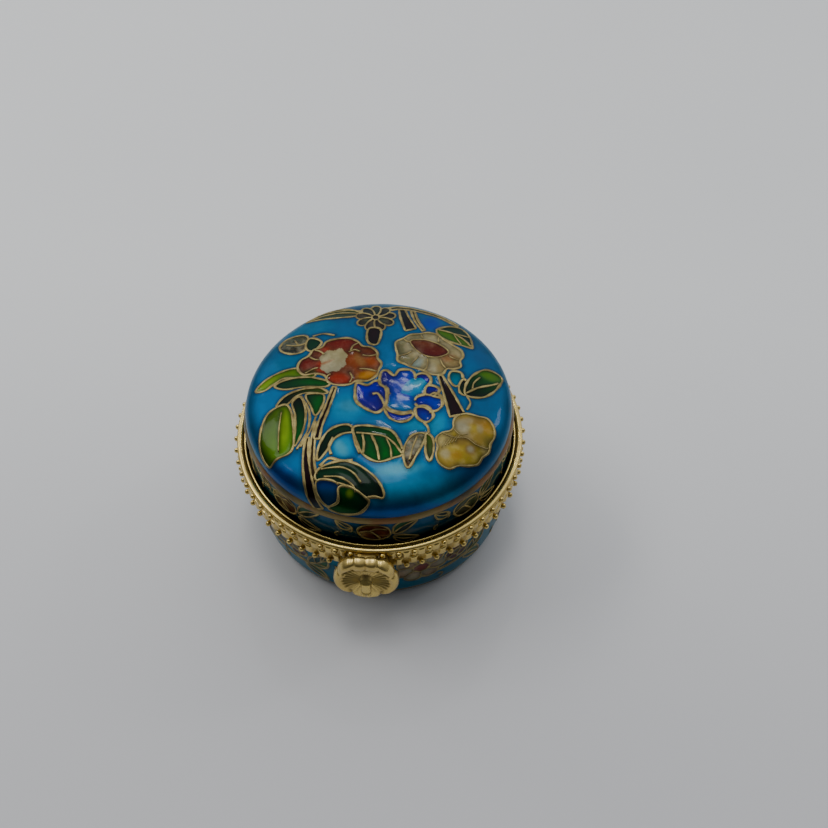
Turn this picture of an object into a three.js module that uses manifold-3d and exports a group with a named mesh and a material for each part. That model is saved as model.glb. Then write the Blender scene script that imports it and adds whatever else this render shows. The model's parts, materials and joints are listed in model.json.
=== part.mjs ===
import * as THREE from 'three';
import { mergeVertices } from 'three/addons/utils/BufferGeometryUtils.js';
import Module from 'manifold-3d';

// A small round hinged box of cloisonné enamel on copper, with gilt brass mouth rings.
// Millimetres, +Z up. The origin is the centre of the underside, the clasp faces -Y
// and the hinge is at +Y. Heights named "above" are counted from the parting plane.

const wasm = await Module();
wasm.setup();

// Driving dimensions
const beadCircle = 24.6;       // radius of the circle through the middles of the beads
const beadCount = 62;          // beads that a full circle would take
const beadRadius = 0.42;
const partingHeight = 16.6;    // from the underside to the plane where the lid parts
const lidHeight = 13.4;        // from the parting plane to the top of the dome
const wall = 1.4;              // copper with enamel on both faces
const gap = 0.3;               // between two pieces that touch
const turnSegments = 44;       // sides of the turned enamel pieces

// Enamel bodies
const mouthRadius = 22.5;      // outside of the bowl and of the dome inside their rings
const bellyRadius = 22.8;      // widest place of the bowl
const bellyBelow = 7.5;        // how far under the parting plane the bowl is widest
const footRounding = 3;        // radius of the bowl's bottom edge
const shoulderRadius = 22.0;   // dome at the shoulder wire
const shoulderAbove = 8.3;     // height of the shoulder wire
const domePower = 3.2;         // 2 is an ellipse, more is flatter with a tighter shoulder
const domeSteps = 8;
const seatDepth = 1;           // how far the mouth of each enamel body is from the parting plane

// Mouth rings
const ringOutside = 24.35;     // the band that carries the beads
const lipAbove = 2.6;          // edge of each ring farthest from the parting plane
const beadAbove = 1.7;         // middle of the lid's row of beads
const beadBelow = 1.95;        // middle of the base's row, under the parting plane
const partGap = 0.15;          // half the gap between the two rings
const edgeBevel = 0.3;         // bevel at the outer edge of each ring, clear of the beads
const webThickness = 0.5;
const tongueOutside = 20.7;    // upstanding collar of the base ring, inside the lid
const tongueInside = 20.0;
const tongueRise = 1.2;

// Clasp
const flowerWidth = 10.7;
const flowerHeight = 10.7;
const flowerThickness = 1.7;
const flowerBack = 25.4;       // distance from the box's axis to the back of the flower
const flowerBelow = 1.35;      // middle of the flower under the parting plane
const petalDip = 0.13;         // depth of the notches between petals, as part of the radius
const lugWidth = 3;

// Hinge
const hingeDistance = 26.5;    // from the box's axis to the pin
const knuckleRadius = 1.3;
const pinRadius = 0.5;
const hingeLength = 9;
const middleLength = 3;
const leafDepth = 2.5;

const pitch = 2 * Math.PI / beadCount;

// Only positions, with shared corners merged and empty triangles dropped, as a manifold solid.
function solid(geometry) {
	const bare = geometry.index ? geometry.toNonIndexed() : geometry.clone();
	bare.deleteAttribute('normal');
	bare.deleteAttribute('uv');
	const merged = mergeVertices(bare, 1e-4);
	const triangles = [];
	const index = merged.index.array;
	for (let i = 0; i < index.length; i += 3) {
		const [a, b, c] = index.slice(i, i + 3);
		if (a !== b && b !== c && c !== a) triangles.push(a, b, c);
	}
	return new wasm.Manifold(new wasm.Mesh({
		numProp: 3,
		vertProperties: new Float32Array(merged.attributes.position.array),
		triVerts: new Uint32Array(triangles),
	}));
}

// A closed profile of [radius, height] pairs, anticlockwise with radius to the right.
function turned(profile, segments) {
	const points = profile.map(([r, z]) => new THREE.Vector2(r, z));
	if (profile[0][0] > 0) points.push(points[0].clone());
	const lathe = new THREE.LatheGeometry(points, segments);
	lathe.rotateX(Math.PI / 2);
	return solid(lathe);
}

function placed(geometry, x, y, z) {
	geometry.translate(x, y, z);
	return solid(geometry);
}

function block(sizeX, sizeY, sizeZ, x, y, z) {
	return placed(new THREE.BoxGeometry(sizeX, sizeY, sizeZ), x, y, z);
}

// A rod along X.
function rod(radius, length, x, y, z, sides = 16) {
	const geometry = new THREE.CylinderGeometry(radius, radius, length, sides);
	geometry.rotateZ(Math.PI / 2);
	return placed(geometry, x, y, z);
}

// Quarter circle from straight down to straight out, for a rounded bottom edge.
function roundedFoot(outside, radius, floor, steps) {
	return Array.from({ length: steps + 1 }, (_, i) => {
		const t = i / steps * Math.PI / 2;
		return [outside - radius + radius * Math.sin(t), floor + radius - radius * Math.cos(t)];
	});
}

// Superellipse quarter from the shoulder up to the top on the axis.
function domeArc(radius, rise, from, steps) {
	return Array.from({ length: steps + 1 }, (_, i) => {
		const t = i / steps * Math.PI / 2;
		const r = i === steps ? 0 : radius * Math.cos(t) ** (2 / domePower);
		return [r, from + rise * Math.sin(t) ** (2 / domePower)];
	});
}

// The bowl: flat underside, rounded foot, slightly bellied wall, open mouth.
function makeBowl() {
	const mouth = partingHeight - seatDepth;
	const belly = partingHeight - bellyBelow;
	const outside = [
		[0, 0],
		...roundedFoot(bellyRadius - 0.2, footRounding, 0, 4),
		[bellyRadius, belly],
		[mouthRadius, mouth],
	];
	const inside = [
		[mouthRadius - wall, mouth],
		[bellyRadius - wall, belly],
		...roundedFoot(bellyRadius - wall - 0.2, footRounding - wall / 2, wall, 3).reverse(),
		[0, wall],
	];
	return turned([...outside, ...inside], turnSegments);
}

// The dome: short side wall up to the shoulder, flattened dome over it, hollow inside.
function makeDome() {
	const foot = partingHeight + seatDepth;
	const shoulder = partingHeight + shoulderAbove;
	const rise = lidHeight - shoulderAbove;
	const outside = [
		[mouthRadius, foot],
		...domeArc(shoulderRadius, rise, shoulder, domeSteps),
	];
	const inside = [
		...domeArc(shoulderRadius - wall, rise - wall / 2, shoulder - wall / 2, domeSteps - 2).reverse(),
		[mouthRadius - wall, foot],
	];
	return turned([...outside, ...inside], turnSegments);
}

// Beads round a ring at a height, starting a share of the pitch past the clasp and left out
// inside the arcs kept clear at the front and back.
function withBeads(ring, height, share, clearFront, clearBack) {
	for (let i = 0; i < beadCount; i++) {
		const angle = -Math.PI / 2 + (i + share) * pitch;
		const x = beadCircle * Math.cos(angle);
		const y = beadCircle * Math.sin(angle);
		const clear = y < 0 ? clearFront : clearBack;
		if (Math.abs(x) < clear && Math.abs(y) > beadCircle / 2) continue;
		const bead = new THREE.IcosahedronGeometry(beadRadius, 0);
		bead.rotateZ(angle);
		ring = ring.add(placed(bead, x, y, height));
	}
	return ring;
}

// A channel that caps the bowl's wall, with a collar that rises inside the lid.
function makeBaseRing() {
	const channelOutside = bellyRadius + gap;
	const channelInside = mouthRadius - wall - gap;
	const top = partingHeight - partGap;
	const edge = partingHeight - lipAbove;
	const profile = [
		[channelOutside, edge],
		[ringOutside - edgeBevel, edge],
		[ringOutside, edge + edgeBevel],
		[ringOutside, top],
		[tongueOutside, top],
		[tongueOutside, partingHeight + tongueRise],
		[tongueInside, partingHeight + tongueRise],
		[tongueInside, edge],
		[channelInside, edge],
		[channelInside, top - webThickness],
		[channelOutside, top - webThickness],
	];
	const ring = turned(profile, beadCount);
	return withBeads(ring, partingHeight - beadBelow, 0.5, 0, hingeLength / 2 + 1);
}

// A seat for the dome's wall, with a rounded lip that stands away from it.
function makeLidRing() {
	const seatInside = mouthRadius - wall;
	const grooveInside = mouthRadius + gap;
	const bottom = partingHeight + partGap;
	const lip = partingHeight + lipAbove;
	const profile = [
		[seatInside, bottom],
		[ringOutside, bottom],
		[ringOutside, lip - edgeBevel],
		[ringOutside - edgeBevel, lip],
		[grooveInside, lip],
		[grooveInside, bottom + webThickness],
		[seatInside, bottom + webThickness],
	];
	const ring = turned(profile, beadCount).rotate([0, 0, 180 / beadCount]);
	return withBeads(ring, partingHeight + beadAbove, 0, lugWidth / 2 + 0.6, hingeLength / 2 + 1);
}

// Outline of five petals as a closed shape in X and Z, two above, two beside and one below.
function petalShape() {
	const shape = new THREE.Shape();
	const steps = 40;
	for (let i = 0; i < steps; i++) {
		const t = i / steps * 2 * Math.PI;
		const lobe = Math.abs(Math.cos(2.5 * (t - 0.3 * Math.PI))) ** 0.7;
		const reach = 1 - petalDip * (1 - lobe);
		const x = flowerWidth / 2 * reach * Math.cos(t);
		const z = flowerHeight / 2 * reach * Math.sin(t);
		if (i === 0) shape.moveTo(x, z);
		else shape.lineTo(x, z);
	}
	shape.closePath();
	return shape;
}

// The flower stands in front of both rings and is held by a lug on the lid ring.
function makeFlower() {
	const middle = partingHeight - flowerBelow;
	const bevel = 0.35;
	const petals = new THREE.ExtrudeGeometry(petalShape(), {
		depth: flowerThickness - 2 * bevel,
		bevelThickness: bevel,
		bevelSize: bevel,
		bevelOffset: -bevel,
		bevelSegments: 2,
		steps: 1,
	});
	petals.rotateX(Math.PI / 2);
	const front = -flowerBack - flowerThickness;
	let flower = placed(petals, 0, -flowerBack - bevel, middle);

	const throat = new THREE.ConeGeometry(2.6, 1.3, 12);
	flower = flower.subtract(placed(throat, 0, front + 0.3, middle));

	const keel = new THREE.SphereGeometry(1.3, 10, 6);
	keel.scale(1, 0.7, 1.3);
	flower = flower.add(placed(keel, 0, front + 0.5, middle - 0.32 * flowerHeight));

	const lugReach = flowerBack + 0.4 - (ringOutside + gap);
	const lugMiddle = -(ringOutside + gap + lugReach / 2);
	const lugHeight = lipAbove - 2 * partGap;
	const lug = block(lugWidth, lugReach, lugHeight, 0, lugMiddle, partingHeight + partGap + lugHeight / 2);
	return flower.add(lug);
}

// Leaf on the base ring with the two outer knuckles.
function makeHingeBase() {
	const leafBack = ringOutside + gap;
	const sideLength = (hingeLength - middleLength) / 2 - gap;
	const bore = rod(pinRadius + gap, hingeLength + 1, 0, hingeDistance, partingHeight);
	const plateTop = -knuckleRadius - gap;
	const plateHeight = leafDepth + plateTop + 0.6;
	let leaf = block(hingeLength, hingeDistance - leafBack + 0.6, plateHeight,
		0, (leafBack + hingeDistance + 0.6) / 2, partingHeight + plateTop - plateHeight / 2);
	for (const side of [-1, 1]) {
		const x = side * (hingeLength - sideLength) / 2;
		const webHeight = leafDepth - partGap;
		leaf = leaf.add(rod(knuckleRadius, sideLength, x, hingeDistance, partingHeight));
		leaf = leaf.add(block(sideLength, hingeDistance - leafBack, webHeight,
			x, (leafBack + hingeDistance) / 2, partingHeight - partGap - webHeight / 2));
	}
	return leaf.subtract(bore);
}

// Leaf on the lid ring with the middle knuckle.
function makeHingeLid() {
	const leafBack = ringOutside + gap;
	const bore = rod(pinRadius + gap, hingeLength + 1, 0, hingeDistance, partingHeight);
	const webHeight = leafDepth - partGap;
	const web = block(middleLength, hingeDistance - leafBack, webHeight,
		0, (leafBack + hingeDistance) / 2, partingHeight + partGap + webHeight / 2);
	return rod(knuckleRadius, middleLength, 0, hingeDistance, partingHeight).add(web).subtract(bore);
}

function makeHingePin() {
	return rod(pinRadius, hingeLength + 0.6, 0, hingeDistance, partingHeight, 12);
}

const enamel = { color: 0x0b7fae, roughness: 0.12, metalness: 0.35 };
const gilt = { color: 0xb59a4e, roughness: 0.28, metalness: 1 };

// A manifold solid as a named mesh.
function node(name, body, finish) {
	const mesh = body.getMesh();
	const geometry = new THREE.BufferGeometry();
	geometry.setAttribute('position', new THREE.BufferAttribute(mesh.vertProperties, 3));
	geometry.setIndex(new THREE.BufferAttribute(mesh.triVerts, 1));
	geometry.computeVertexNormals();
	const result = new THREE.Mesh(geometry, new THREE.MeshStandardMaterial(finish));
	result.name = name;
	return result;
}

const box = new THREE.Group();
box.add(
	node('base_bowl', makeBowl(), enamel),
	node('base_rim', makeBaseRing(), gilt),
	node('hinge_base', makeHingeBase(), gilt),
	node('hinge_pin', makeHingePin(), gilt),
	node('lid_dome', makeDome(), enamel),
	node('lid_rim', makeLidRing(), gilt),
	node('hinge_lid', makeHingeLid(), gilt),
	node('clasp_flower', makeFlower(), gilt),
);

export default box;
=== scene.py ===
import json
import math

import bpy
import numpy as np
from mathutils import Matrix, Vector


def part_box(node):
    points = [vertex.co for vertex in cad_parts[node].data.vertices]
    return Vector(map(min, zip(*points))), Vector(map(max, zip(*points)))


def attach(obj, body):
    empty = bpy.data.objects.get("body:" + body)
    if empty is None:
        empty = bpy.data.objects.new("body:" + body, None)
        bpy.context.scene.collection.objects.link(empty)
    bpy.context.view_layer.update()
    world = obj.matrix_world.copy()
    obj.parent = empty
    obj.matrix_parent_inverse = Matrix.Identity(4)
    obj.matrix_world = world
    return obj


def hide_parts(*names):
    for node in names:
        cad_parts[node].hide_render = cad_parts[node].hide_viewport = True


# Shapes are worked out in millimetres and become metres when they are put into a mesh.
# The lid's picture is drawn on a flat sheet whose middle is the top of the dome, X to the right and
# Y away from the clasp, and is laid on by distance along the dome. The walls' pictures are drawn on
# an unrolled strip: X round the box from the clasp, Y is the height above the table.
mm = 0.001
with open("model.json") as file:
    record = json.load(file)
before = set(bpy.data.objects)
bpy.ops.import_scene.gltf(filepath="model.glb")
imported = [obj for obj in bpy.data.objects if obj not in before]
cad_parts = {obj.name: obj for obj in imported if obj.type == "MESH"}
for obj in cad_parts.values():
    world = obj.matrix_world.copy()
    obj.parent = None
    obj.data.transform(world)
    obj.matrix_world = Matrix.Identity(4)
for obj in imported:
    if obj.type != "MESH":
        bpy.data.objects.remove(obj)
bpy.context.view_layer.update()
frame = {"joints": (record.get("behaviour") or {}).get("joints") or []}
pin = np.array(frame["joints"][0]["pos_m"]) / mm
partHeight = float(pin[2])


def clip01(value):
    return np.clip(value, 0, 1)


def wholeTurn(count):
    return np.linspace(0, 2 * math.pi, count, endpoint=False)


def nodeBox(node):
    low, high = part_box(node)
    return np.array(low) / mm, np.array(high) / mm


print("frame loaded, the lid parts at", round(partHeight, 2), "mm")


# Colours, and arithmetic on shader values.

# gleam serves only as a painted highlight, and sky also as a painted reflection on the dome
glaze = {"ground": (0, 139, 212), "deepGround": (0, 70, 160), "sky": (0, 190, 246),
         "gleam": (130, 228, 240), "lagoon": (0, 146, 190), "cobalt": (44, 0, 222),
         "royal": (0, 72, 235), "navy": (44, 0, 150), "azure": (0, 160, 245), "leaf": (110, 168, 6),
         "lime": (160, 205, 12), "moss": (84, 118, 10), "fern": (8, 128, 34), "bottle": (0, 76, 44),
         "pine": (0, 36, 22), "teal": (0, 128, 140), "sage": (100, 112, 74),
         "cream": (216, 200, 136), "ivory": (240, 230, 182), "sand": (196, 156, 78),
         "gold": (250, 214, 58), "amber": (240, 160, 0), "orange": (206, 92, 0),
         "coral": (218, 58, 2), "brick": (160, 32, 8), "rust": (138, 58, 14), "garnet": (140, 6, 2),
         "plum": (52, 18, 30), "bark": (84, 62, 36), "blush": (255, 196, 146),
         "pearl": (190, 214, 196), "counter": (0, 100, 150)}


def tone(name, shade=1.0):
    # an 8-bit colour as linear light: each channel over 255, to the power 2.2
    return clip01(np.array(glaze[name]) / 255.0) ** 2.2 * shade


class Sock:
    # A shader value. Sums and products of Socks or numbers add Math nodes to the material.
    def __init__(self, tree, link):
        self.tree, self.link = tree, link

    def node(self, kind, settings=None, **inputs):
        made = self.tree.nodes.new(kind)
        for key, value in (settings or {}).items():
            setattr(made, key, value)
        for key, value in inputs.items():
            name = int(key[1:]) if key[0] == "n" and key[1:].isdigit() else key.replace("_", " ")
            if isinstance(value, Sock):
                self.tree.links.new(value.link, made.inputs[name])
            else:
                made.inputs[name].default_value = value
        return made

    def maths(self, operation, first, second):
        made = self.node("ShaderNodeMath", {"operation": operation}, n0=first, n1=second)
        return Sock(self.tree, made.outputs[0])

    def __add__(self, other):
        return self.maths("ADD", self, other)

    def __sub__(self, other):
        return self.maths("SUBTRACT", self, other)

    def __mul__(self, other):
        return self.maths("MULTIPLY", self, other)

    def __truediv__(self, other):
        return self.maths("DIVIDE", self, other)

    def __radd__(self, other):
        return self.maths("ADD", other, self)

    def __rsub__(self, other):
        return self.maths("SUBTRACT", other, self)

    def __rmul__(self, other):
        return self.maths("MULTIPLY", other, self)

    def span(self, low, high):
        # 0 below low, 1 above high, smooth between
        made = self.node("ShaderNodeMapRange", {"interpolation_type": "SMOOTHSTEP"},
                         Value=self, From_Min=low, From_Max=high)
        return Sock(self.tree, made.outputs[0])

    def out(self, node, name=0):
        return Sock(self.tree, node.outputs[name])


def newMaterial(name):
    made = bpy.data.materials.new(name)
    made.use_nodes = True
    shader = made.node_tree.nodes["Principled BSDF"]
    return made, shader, Sock(made.node_tree, None)


def noise(sock, scale, detail=3.0, rough=0.55, stretch=(1, 1, 1)):
    # cloudy pattern on Object coordinates; scale counts features per metre
    place = sock.node("ShaderNodeTexCoord")
    turned = sock.node("ShaderNodeMapping", Vector=sock.out(place, "Object"), Scale=stretch)
    made = sock.node("ShaderNodeTexNoise", Vector=sock.out(turned), Scale=scale, Detail=detail,
                     Roughness=rough)
    return sock.out(made, "Fac")


def attribute(sock, name, output="Fac"):
    return sock.out(sock.node("ShaderNodeAttribute", {"attribute_name": name}), output)


def mixed(sock, amount, first, second, blend="MIX"):
    # first where the amount is 0 and second where it is 1; a plain colour is three numbers
    first, second = (value if isinstance(value, Sock) else (*value, 1) for value in (first, second))
    made = sock.node("ShaderNodeMix", {"data_type": "RGBA", "blend_type": blend},
                     n0=amount, n6=first, n7=second)
    return Sock(sock.tree, made.outputs[2])


def bumped(sock, shader, height, distance, strength):
    made = sock.node("ShaderNodeBump", Height=height, Distance=distance, Strength=strength)
    sock.tree.links.new(made.outputs[0], shader.inputs["Normal"])


def feed(sock, shader, **inputs):
    for name, value in inputs.items():
        socket = shader.inputs[name.replace("_", " ")]
        if isinstance(value, Sock):
            sock.tree.links.new(value.link, socket)
        else:
            socket.default_value = value


enamelLook = {"metal": 0.95, "roughness": 0.36, "coat": 0.7, "coatRoughness": 0.08, "coatIor": 1.2,
              "ior": 1.3, "sheen": (0.42, 0.74, 0.8, 1), "strength": 0.24, "edgeShade": 0.46,
              "clouds": 260, "grain": 2600, "milk": 520, "ripple": 150, "rippleDepth": 0.0003,
              "speckTone": (0.20, 0.09, 0.03), "speckShare": 0.42,
              "milkTone": (0.78, 0.70, 0.48), "milkShare": 0.30}


def enamelMaterial():
    # translucent glass over a bright ground: a tinted metallic base under a clear coat
    look = enamelLook
    made, shader, s = newMaterial("enamel")
    tint, depth, mottle = attribute(s, "tint", "Color"), attribute(s, "depth"), attribute(s, "mottle")
    clouds = noise(s, look["clouds"], 4.0)
    # lighter in the clouds, and painted shade beside each wire that fades out over 0.7 mm
    edge = look["edgeShade"] * (1 - depth.span(0.0, 0.7))
    shade = look["strength"] * (0.88 + 0.34 * clouds.span(0.3, 0.7) - edge)
    dark = s.node("ShaderNodeCombineColor", Red=shade, Green=shade, Blue=shade)
    colour = mixed(s, 1.0, tint, s.out(dark), "MULTIPLY")
    specks = mottle * noise(s, look["grain"], 2.0).span(0.42, 0.66) * look["speckShare"]
    colour = mixed(s, specks, colour, look["speckTone"])
    milky = mottle * noise(s, look["milk"], 4.0).span(0.45, 0.72) * look["milkShare"]
    colour = mixed(s, milky, colour, look["milkTone"])
    height = noise(s, look["ripple"], 2.0) + 0.035 * noise(s, look["clouds"], 1.0)
    bumped(s, shader, height, look["rippleDepth"], 0.2)
    feed(s, shader, Base_Color=colour, Metallic=look["metal"] - 0.3 * mottle,
         Roughness=look["roughness"] + 0.10 * clouds, Coat_Weight=look["coat"],
         Coat_Roughness=look["coatRoughness"], Coat_IOR=look["coatIor"], IOR=look["ior"],
         Specular_Tint=look["sheen"])
    return made


wireLook = {"bright": (0.325, 0.26, 0.105), "dull": (0.11, 0.08, 0.032), "roughness": 0.34,
            "wear": 700, "patches": 120, "grain": 3500, "grainDepth": 0.00003}


def wireMaterial():
    # gilt copper wire, ground flush and browned in places
    look = wireLook
    made, shader, s = newMaterial("cloisonWire")
    wear, patches = noise(s, look["wear"], 4.0), noise(s, look["patches"], 2.0)
    dull = (0.65 * wear.span(0.35, 0.65) + 0.5 * patches.span(0.4, 0.65)) * 0.8
    bumped(s, shader, noise(s, look["grain"], 2.0), look["grainDepth"], 0.5)
    feed(s, shader, Base_Color=mixed(s, dull, look["bright"], look["dull"]), Metallic=1.0,
         Roughness=look["roughness"] + 0.2 * wear)
    return made


bandLook = {"tan": (0.24, 0.18, 0.07), "copper": (0.22, 0.115, 0.045), "mauve": (0.11, 0.085, 0.065),
            "olive": (0.075, 0.08, 0.03), "roughness": 0.42, "metal": 0.85, "grain": 2200,
            "grainDepth": 0.00005, "coat": 0.3, "coatRoughness": 0.15, "coatIor": 1.3}


def bandMaterial():
    # the broad wire round the shoulder, browned unevenly by the firing, under a thin film of glaze
    look = bandLook
    made, shader, s = newMaterial("shoulderBand")
    colour = mixed(s, noise(s, 130, 3.0).span(0.42, 0.58), look["tan"], look["copper"])
    colour = mixed(s, noise(s, 210, 3.0, stretch=(1, 1, 2)).span(0.48, 0.62), colour, look["mauve"])
    colour = mixed(s, 0.8 * noise(s, 90, 2.0).span(0.52, 0.66), colour, look["olive"])
    grain = noise(s, look["grain"], 3.0)
    bumped(s, shader, grain, look["grainDepth"], 0.5)
    feed(s, shader, Base_Color=colour, Metallic=look["metal"],
         Roughness=look["roughness"] + 0.15 * grain, Coat_Weight=look["coat"],
         Coat_Roughness=look["coatRoughness"], Coat_IOR=look["coatIor"])
    return made


# the third colour is the painted shade laid into the hollows
giltLook = {"bright": (0.70, 0.53, 0.17), "worn": (0.44, 0.32, 0.11), "recessShade": (0.060, 0.042, 0.015),
            "roughness": 0.19, "clouds": 240, "grain": 2400, "scratches": 900, "grainDepth": 0.00004}


def giltMaterial():
    # polished gilt brass; an attribute that is 1 in the hollows darkens them there as painted shade
    look = giltLook
    made, shader, s = newMaterial("giltBrass")
    recessShade = attribute(s, "recessShade")
    clouds, fine = noise(s, look["clouds"], 4.0), noise(s, look["grain"], 3.0)
    colour = mixed(s, 0.6 * clouds.span(0.35, 0.7), look["bright"], look["worn"])
    colour = mixed(s, recessShade * (0.75 + 0.25 * fine), colour, look["recessShade"])
    scratches = noise(s, look["scratches"], 3.0, stretch=(0.4, 0.4, 5))
    bumped(s, shader, fine * 0.6 + scratches * 0.4, look["grainDepth"], 0.35)
    feed(s, shader, Base_Color=colour, Metallic=1.0,
         Roughness=look["roughness"] + 0.16 * clouds + 0.25 * recessShade)
    return made


floorLook = {"pale": (0.79, 0.80, 0.82), "paler": (0.83, 0.84, 0.855), "near": (0.60, 0.60, 0.625),
             "roughness": 0.62, "clouds": 14, "half": 0.9}


def floorMaterial():
    # pale table top with painted shade: a little darker towards the viewer, where less light falls; near
    # is the share of the way there
    made, shader, s = newMaterial("paleTable")
    place = s.node("ShaderNodeSeparateXYZ", Vector=s.out(s.node("ShaderNodeTexCoord"), "Object"))
    near = (s.out(place, "Y") * -1).span(-0.07, 0.07)
    colour = mixed(s, noise(s, floorLook["clouds"], 3.0), floorLook["pale"], floorLook["paler"])
    colour = mixed(s, near, colour, floorLook["near"])
    feed(s, shader, Base_Color=colour, Roughness=floorLook["roughness"])
    return made


finish = {"enamel": enamelMaterial(), "wire": wireMaterial(), "band": bandMaterial(),
          "gilt": giltMaterial()}
print("materials made")


# Meshes from grids of points.

def gridPart(points, wrapRows=False, wrapCols=False, poles=(None, None)):
    # grid points joined to their neighbours by quads; a pole closes the first or last row with a fan
    rows, cols = points.shape[:2]
    index = np.arange(rows * cols).reshape(rows, cols)
    if wrapCols:
        index = np.concatenate([index, index[:, :1]], 1)
    if wrapRows:
        index = np.concatenate([index, index[:1]], 0)
    quads = np.stack([index[:-1, :-1], index[:-1, 1:], index[1:, 1:], index[1:, :-1]], -1)
    verts = points.reshape(-1, 3)
    fans = [np.zeros((0, 3), int)]
    for pole, edge in ((poles[0], index[0][::-1]), (poles[1], index[-1])):
        if pole is not None:
            tip = np.full(len(edge) - 1, len(verts))
            verts = np.concatenate([verts, np.reshape(pole, (1, 3))])
            fans.append(np.stack([tip, edge[:-1], edge[1:]], -1))
    return outward((verts, quads.reshape(-1, 4), np.concatenate(fans)))


def outward(part):
    # a closed shape whose volume comes out negative has its faces turned round
    verts, quads, fans = part
    corners = np.concatenate([quads[:, [0, 1, 2]], quads[:, [0, 2, 3]], fans])
    a, b, c = (verts[corners[:, k]] for k in range(3))
    if (a * np.cross(b, c)).sum() < 0:
        return verts, quads[:, ::-1], fans[:, ::-1]
    return part


def makePiece(name, parts, body, look, node=None, values=None):
    # one mesh of several parts, in place of a CAD node if one is given; values are numbers or colours
    # for each point, which the materials read
    verts = np.concatenate([part[0] for part in parts])
    starts = np.cumsum([0] + [len(part[0]) for part in parts])
    faces = []
    for part, start in zip(parts, starts):
        faces += (part[1] + start).tolist() + (part[2] + start).tolist()
    mesh = bpy.data.meshes.new(name)
    mesh.from_pydata((verts * mm).tolist(), [], faces)
    mesh.polygons.foreach_set("use_smooth", np.ones(len(mesh.polygons), bool))
    for key, data in (values or {}).items():
        kind = "FLOAT_COLOR" if data.ndim == 2 else "FLOAT"
        layer = mesh.attributes.new(key, kind, "POINT")
        if data.ndim == 2:
            data = np.concatenate([data, np.ones((len(data), 1))], 1)
        layer.data.foreach_set("color" if kind == "FLOAT_COLOR" else "value",
                               data.astype(np.float32).ravel())
    mesh.update()
    piece = bpy.data.objects.new(name, mesh)
    bpy.context.scene.collection.objects.link(piece)
    mesh.materials.append(finish[look])
    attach(piece, body)
    if node:
        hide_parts(node)
    print(name, len(verts), "points")


def makeGilt(name, parts, body, node, shades):
    # polished brass; the shade of a part is the painted shade of its hollows, one number or one for each
    # point
    recessShade = [np.broadcast_to(shade, len(part[0])) for part, shade in zip(parts, shades)]
    makePiece(name, parts, body, "gilt", node, {"recessShade": np.concatenate(recessShade)})


counterShade = {"depth": 1.0, "mottle": 0.12}


def makeEnamel(name, body, node, points, angle, inner, poles, painted):
    # a painted outside and a plain dark inside, whose profile is (radius, height), closed into a shell
    innerR, innerZ = inner
    lining = np.stack([np.outer(innerR, np.cos(angle)), np.outer(innerR, np.sin(angle)),
                       np.tile(innerZ[:, None], (1, len(angle)))], -1)
    part = gridPart(np.concatenate([points, lining]), wrapCols=True, poles=poles)
    extra = len(part[0]) - len(painted[0])
    plain = (np.tile(tone("counter"), (extra, 1)), *(np.full(extra, v) for v in counterShade.values()))
    values = {key: np.concatenate([outer, under])
              for key, outer, under in zip(("tint", "depth", "mottle"), painted, plain)}
    makePiece(name, [part], body, "enamel", node, values)


class Turned:
    # A surface of revolution, measured by the distance along its profile from the axis.
    def __init__(self, profile, side):
        self.r, self.z = profile
        steps = np.hypot(np.diff(self.r), np.diff(self.z))
        self.s = np.concatenate([[0], np.cumsum(steps)])
        dr, dz = np.gradient(self.r, self.s), np.gradient(self.z, self.s)
        length = np.hypot(dr, dz)
        self.nr, self.nz = -side * dz / length, side * dr / length

    def point(self, angle, s, lift=0.0):
        r = np.interp(s, self.s, self.r) + lift * np.interp(s, self.s, self.nr)
        z = np.interp(s, self.s, self.z) + lift * np.interp(s, self.s, self.nz)
        return np.stack([r * np.cos(angle), r * np.sin(angle), z + 0 * r], -1)

    def distance(self, height):
        # distance along the profile at a height on the wall
        order = np.argsort(self.z)
        return np.interp(height, self.z[order], self.s[order])


def superArc(radius, rise, power, count):
    # quarter superellipse from the top of the axis out to the radius: (x/radius)^p + (y/rise)^p = 1
    t = np.linspace(0, math.pi / 2, count)
    return radius * np.sin(t) ** (2 / power), rise * np.cos(t) ** (2 / power)


def ringPart(section, segments):
    # a closed section of (radius, height) turned once round the axis
    section = np.asarray(section, float)
    angle = wholeTurn(segments)
    r, z = section[:, 0], section[:, 1]
    points = np.stack([np.outer(np.cos(angle), r), np.outer(np.sin(angle), r),
                       np.tile(z, (segments, 1))], -1)
    return gridPart(points, wrapRows=True, wrapCols=True)


# Outlines on the flat sheet.

def evenSteps(path, step, closed):
    # the same path with points an equal distance apart
    path = np.concatenate([path, path[:1]]) if closed else path
    along = np.concatenate([[0], np.cumsum(np.hypot(*np.diff(path, axis=0).T))])
    count = max(4, int(round(along[-1] / step)))
    where = np.linspace(0, along[-1], count + 1)
    if closed:
        where = where[:-1]
    return np.stack([np.interp(where, along, path[:, 0]), np.interp(where, along, path[:, 1])], -1)


def curve(points, closed=False, step=0.3):
    # Catmull-Rom: between two points the path leans on the next point at either side
    p = np.asarray(points, float)
    if closed:
        p = np.concatenate([p[-1:], p, p[:2]])
    else:
        p = np.concatenate([2 * p[:1] - p[1:2], p, 2 * p[-1:] - p[-2:-1]])
    t = np.linspace(0, 1, 12, endpoint=False)[:, None, None]
    a, b, c, d = p[:-3], p[1:-2], p[2:-1], p[3:]
    q = 2 * b + (c - a) * t + (2 * a - 5 * b + 4 * c - d) * t ** 2 + (3 * b - a - 3 * c + d) * t ** 3
    q = 0.5 * q.transpose(1, 0, 2).reshape(-1, 2)
    if not closed:
        q = np.concatenate([q, p[-2:-1]])
    return evenSteps(q, step, closed)


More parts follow.
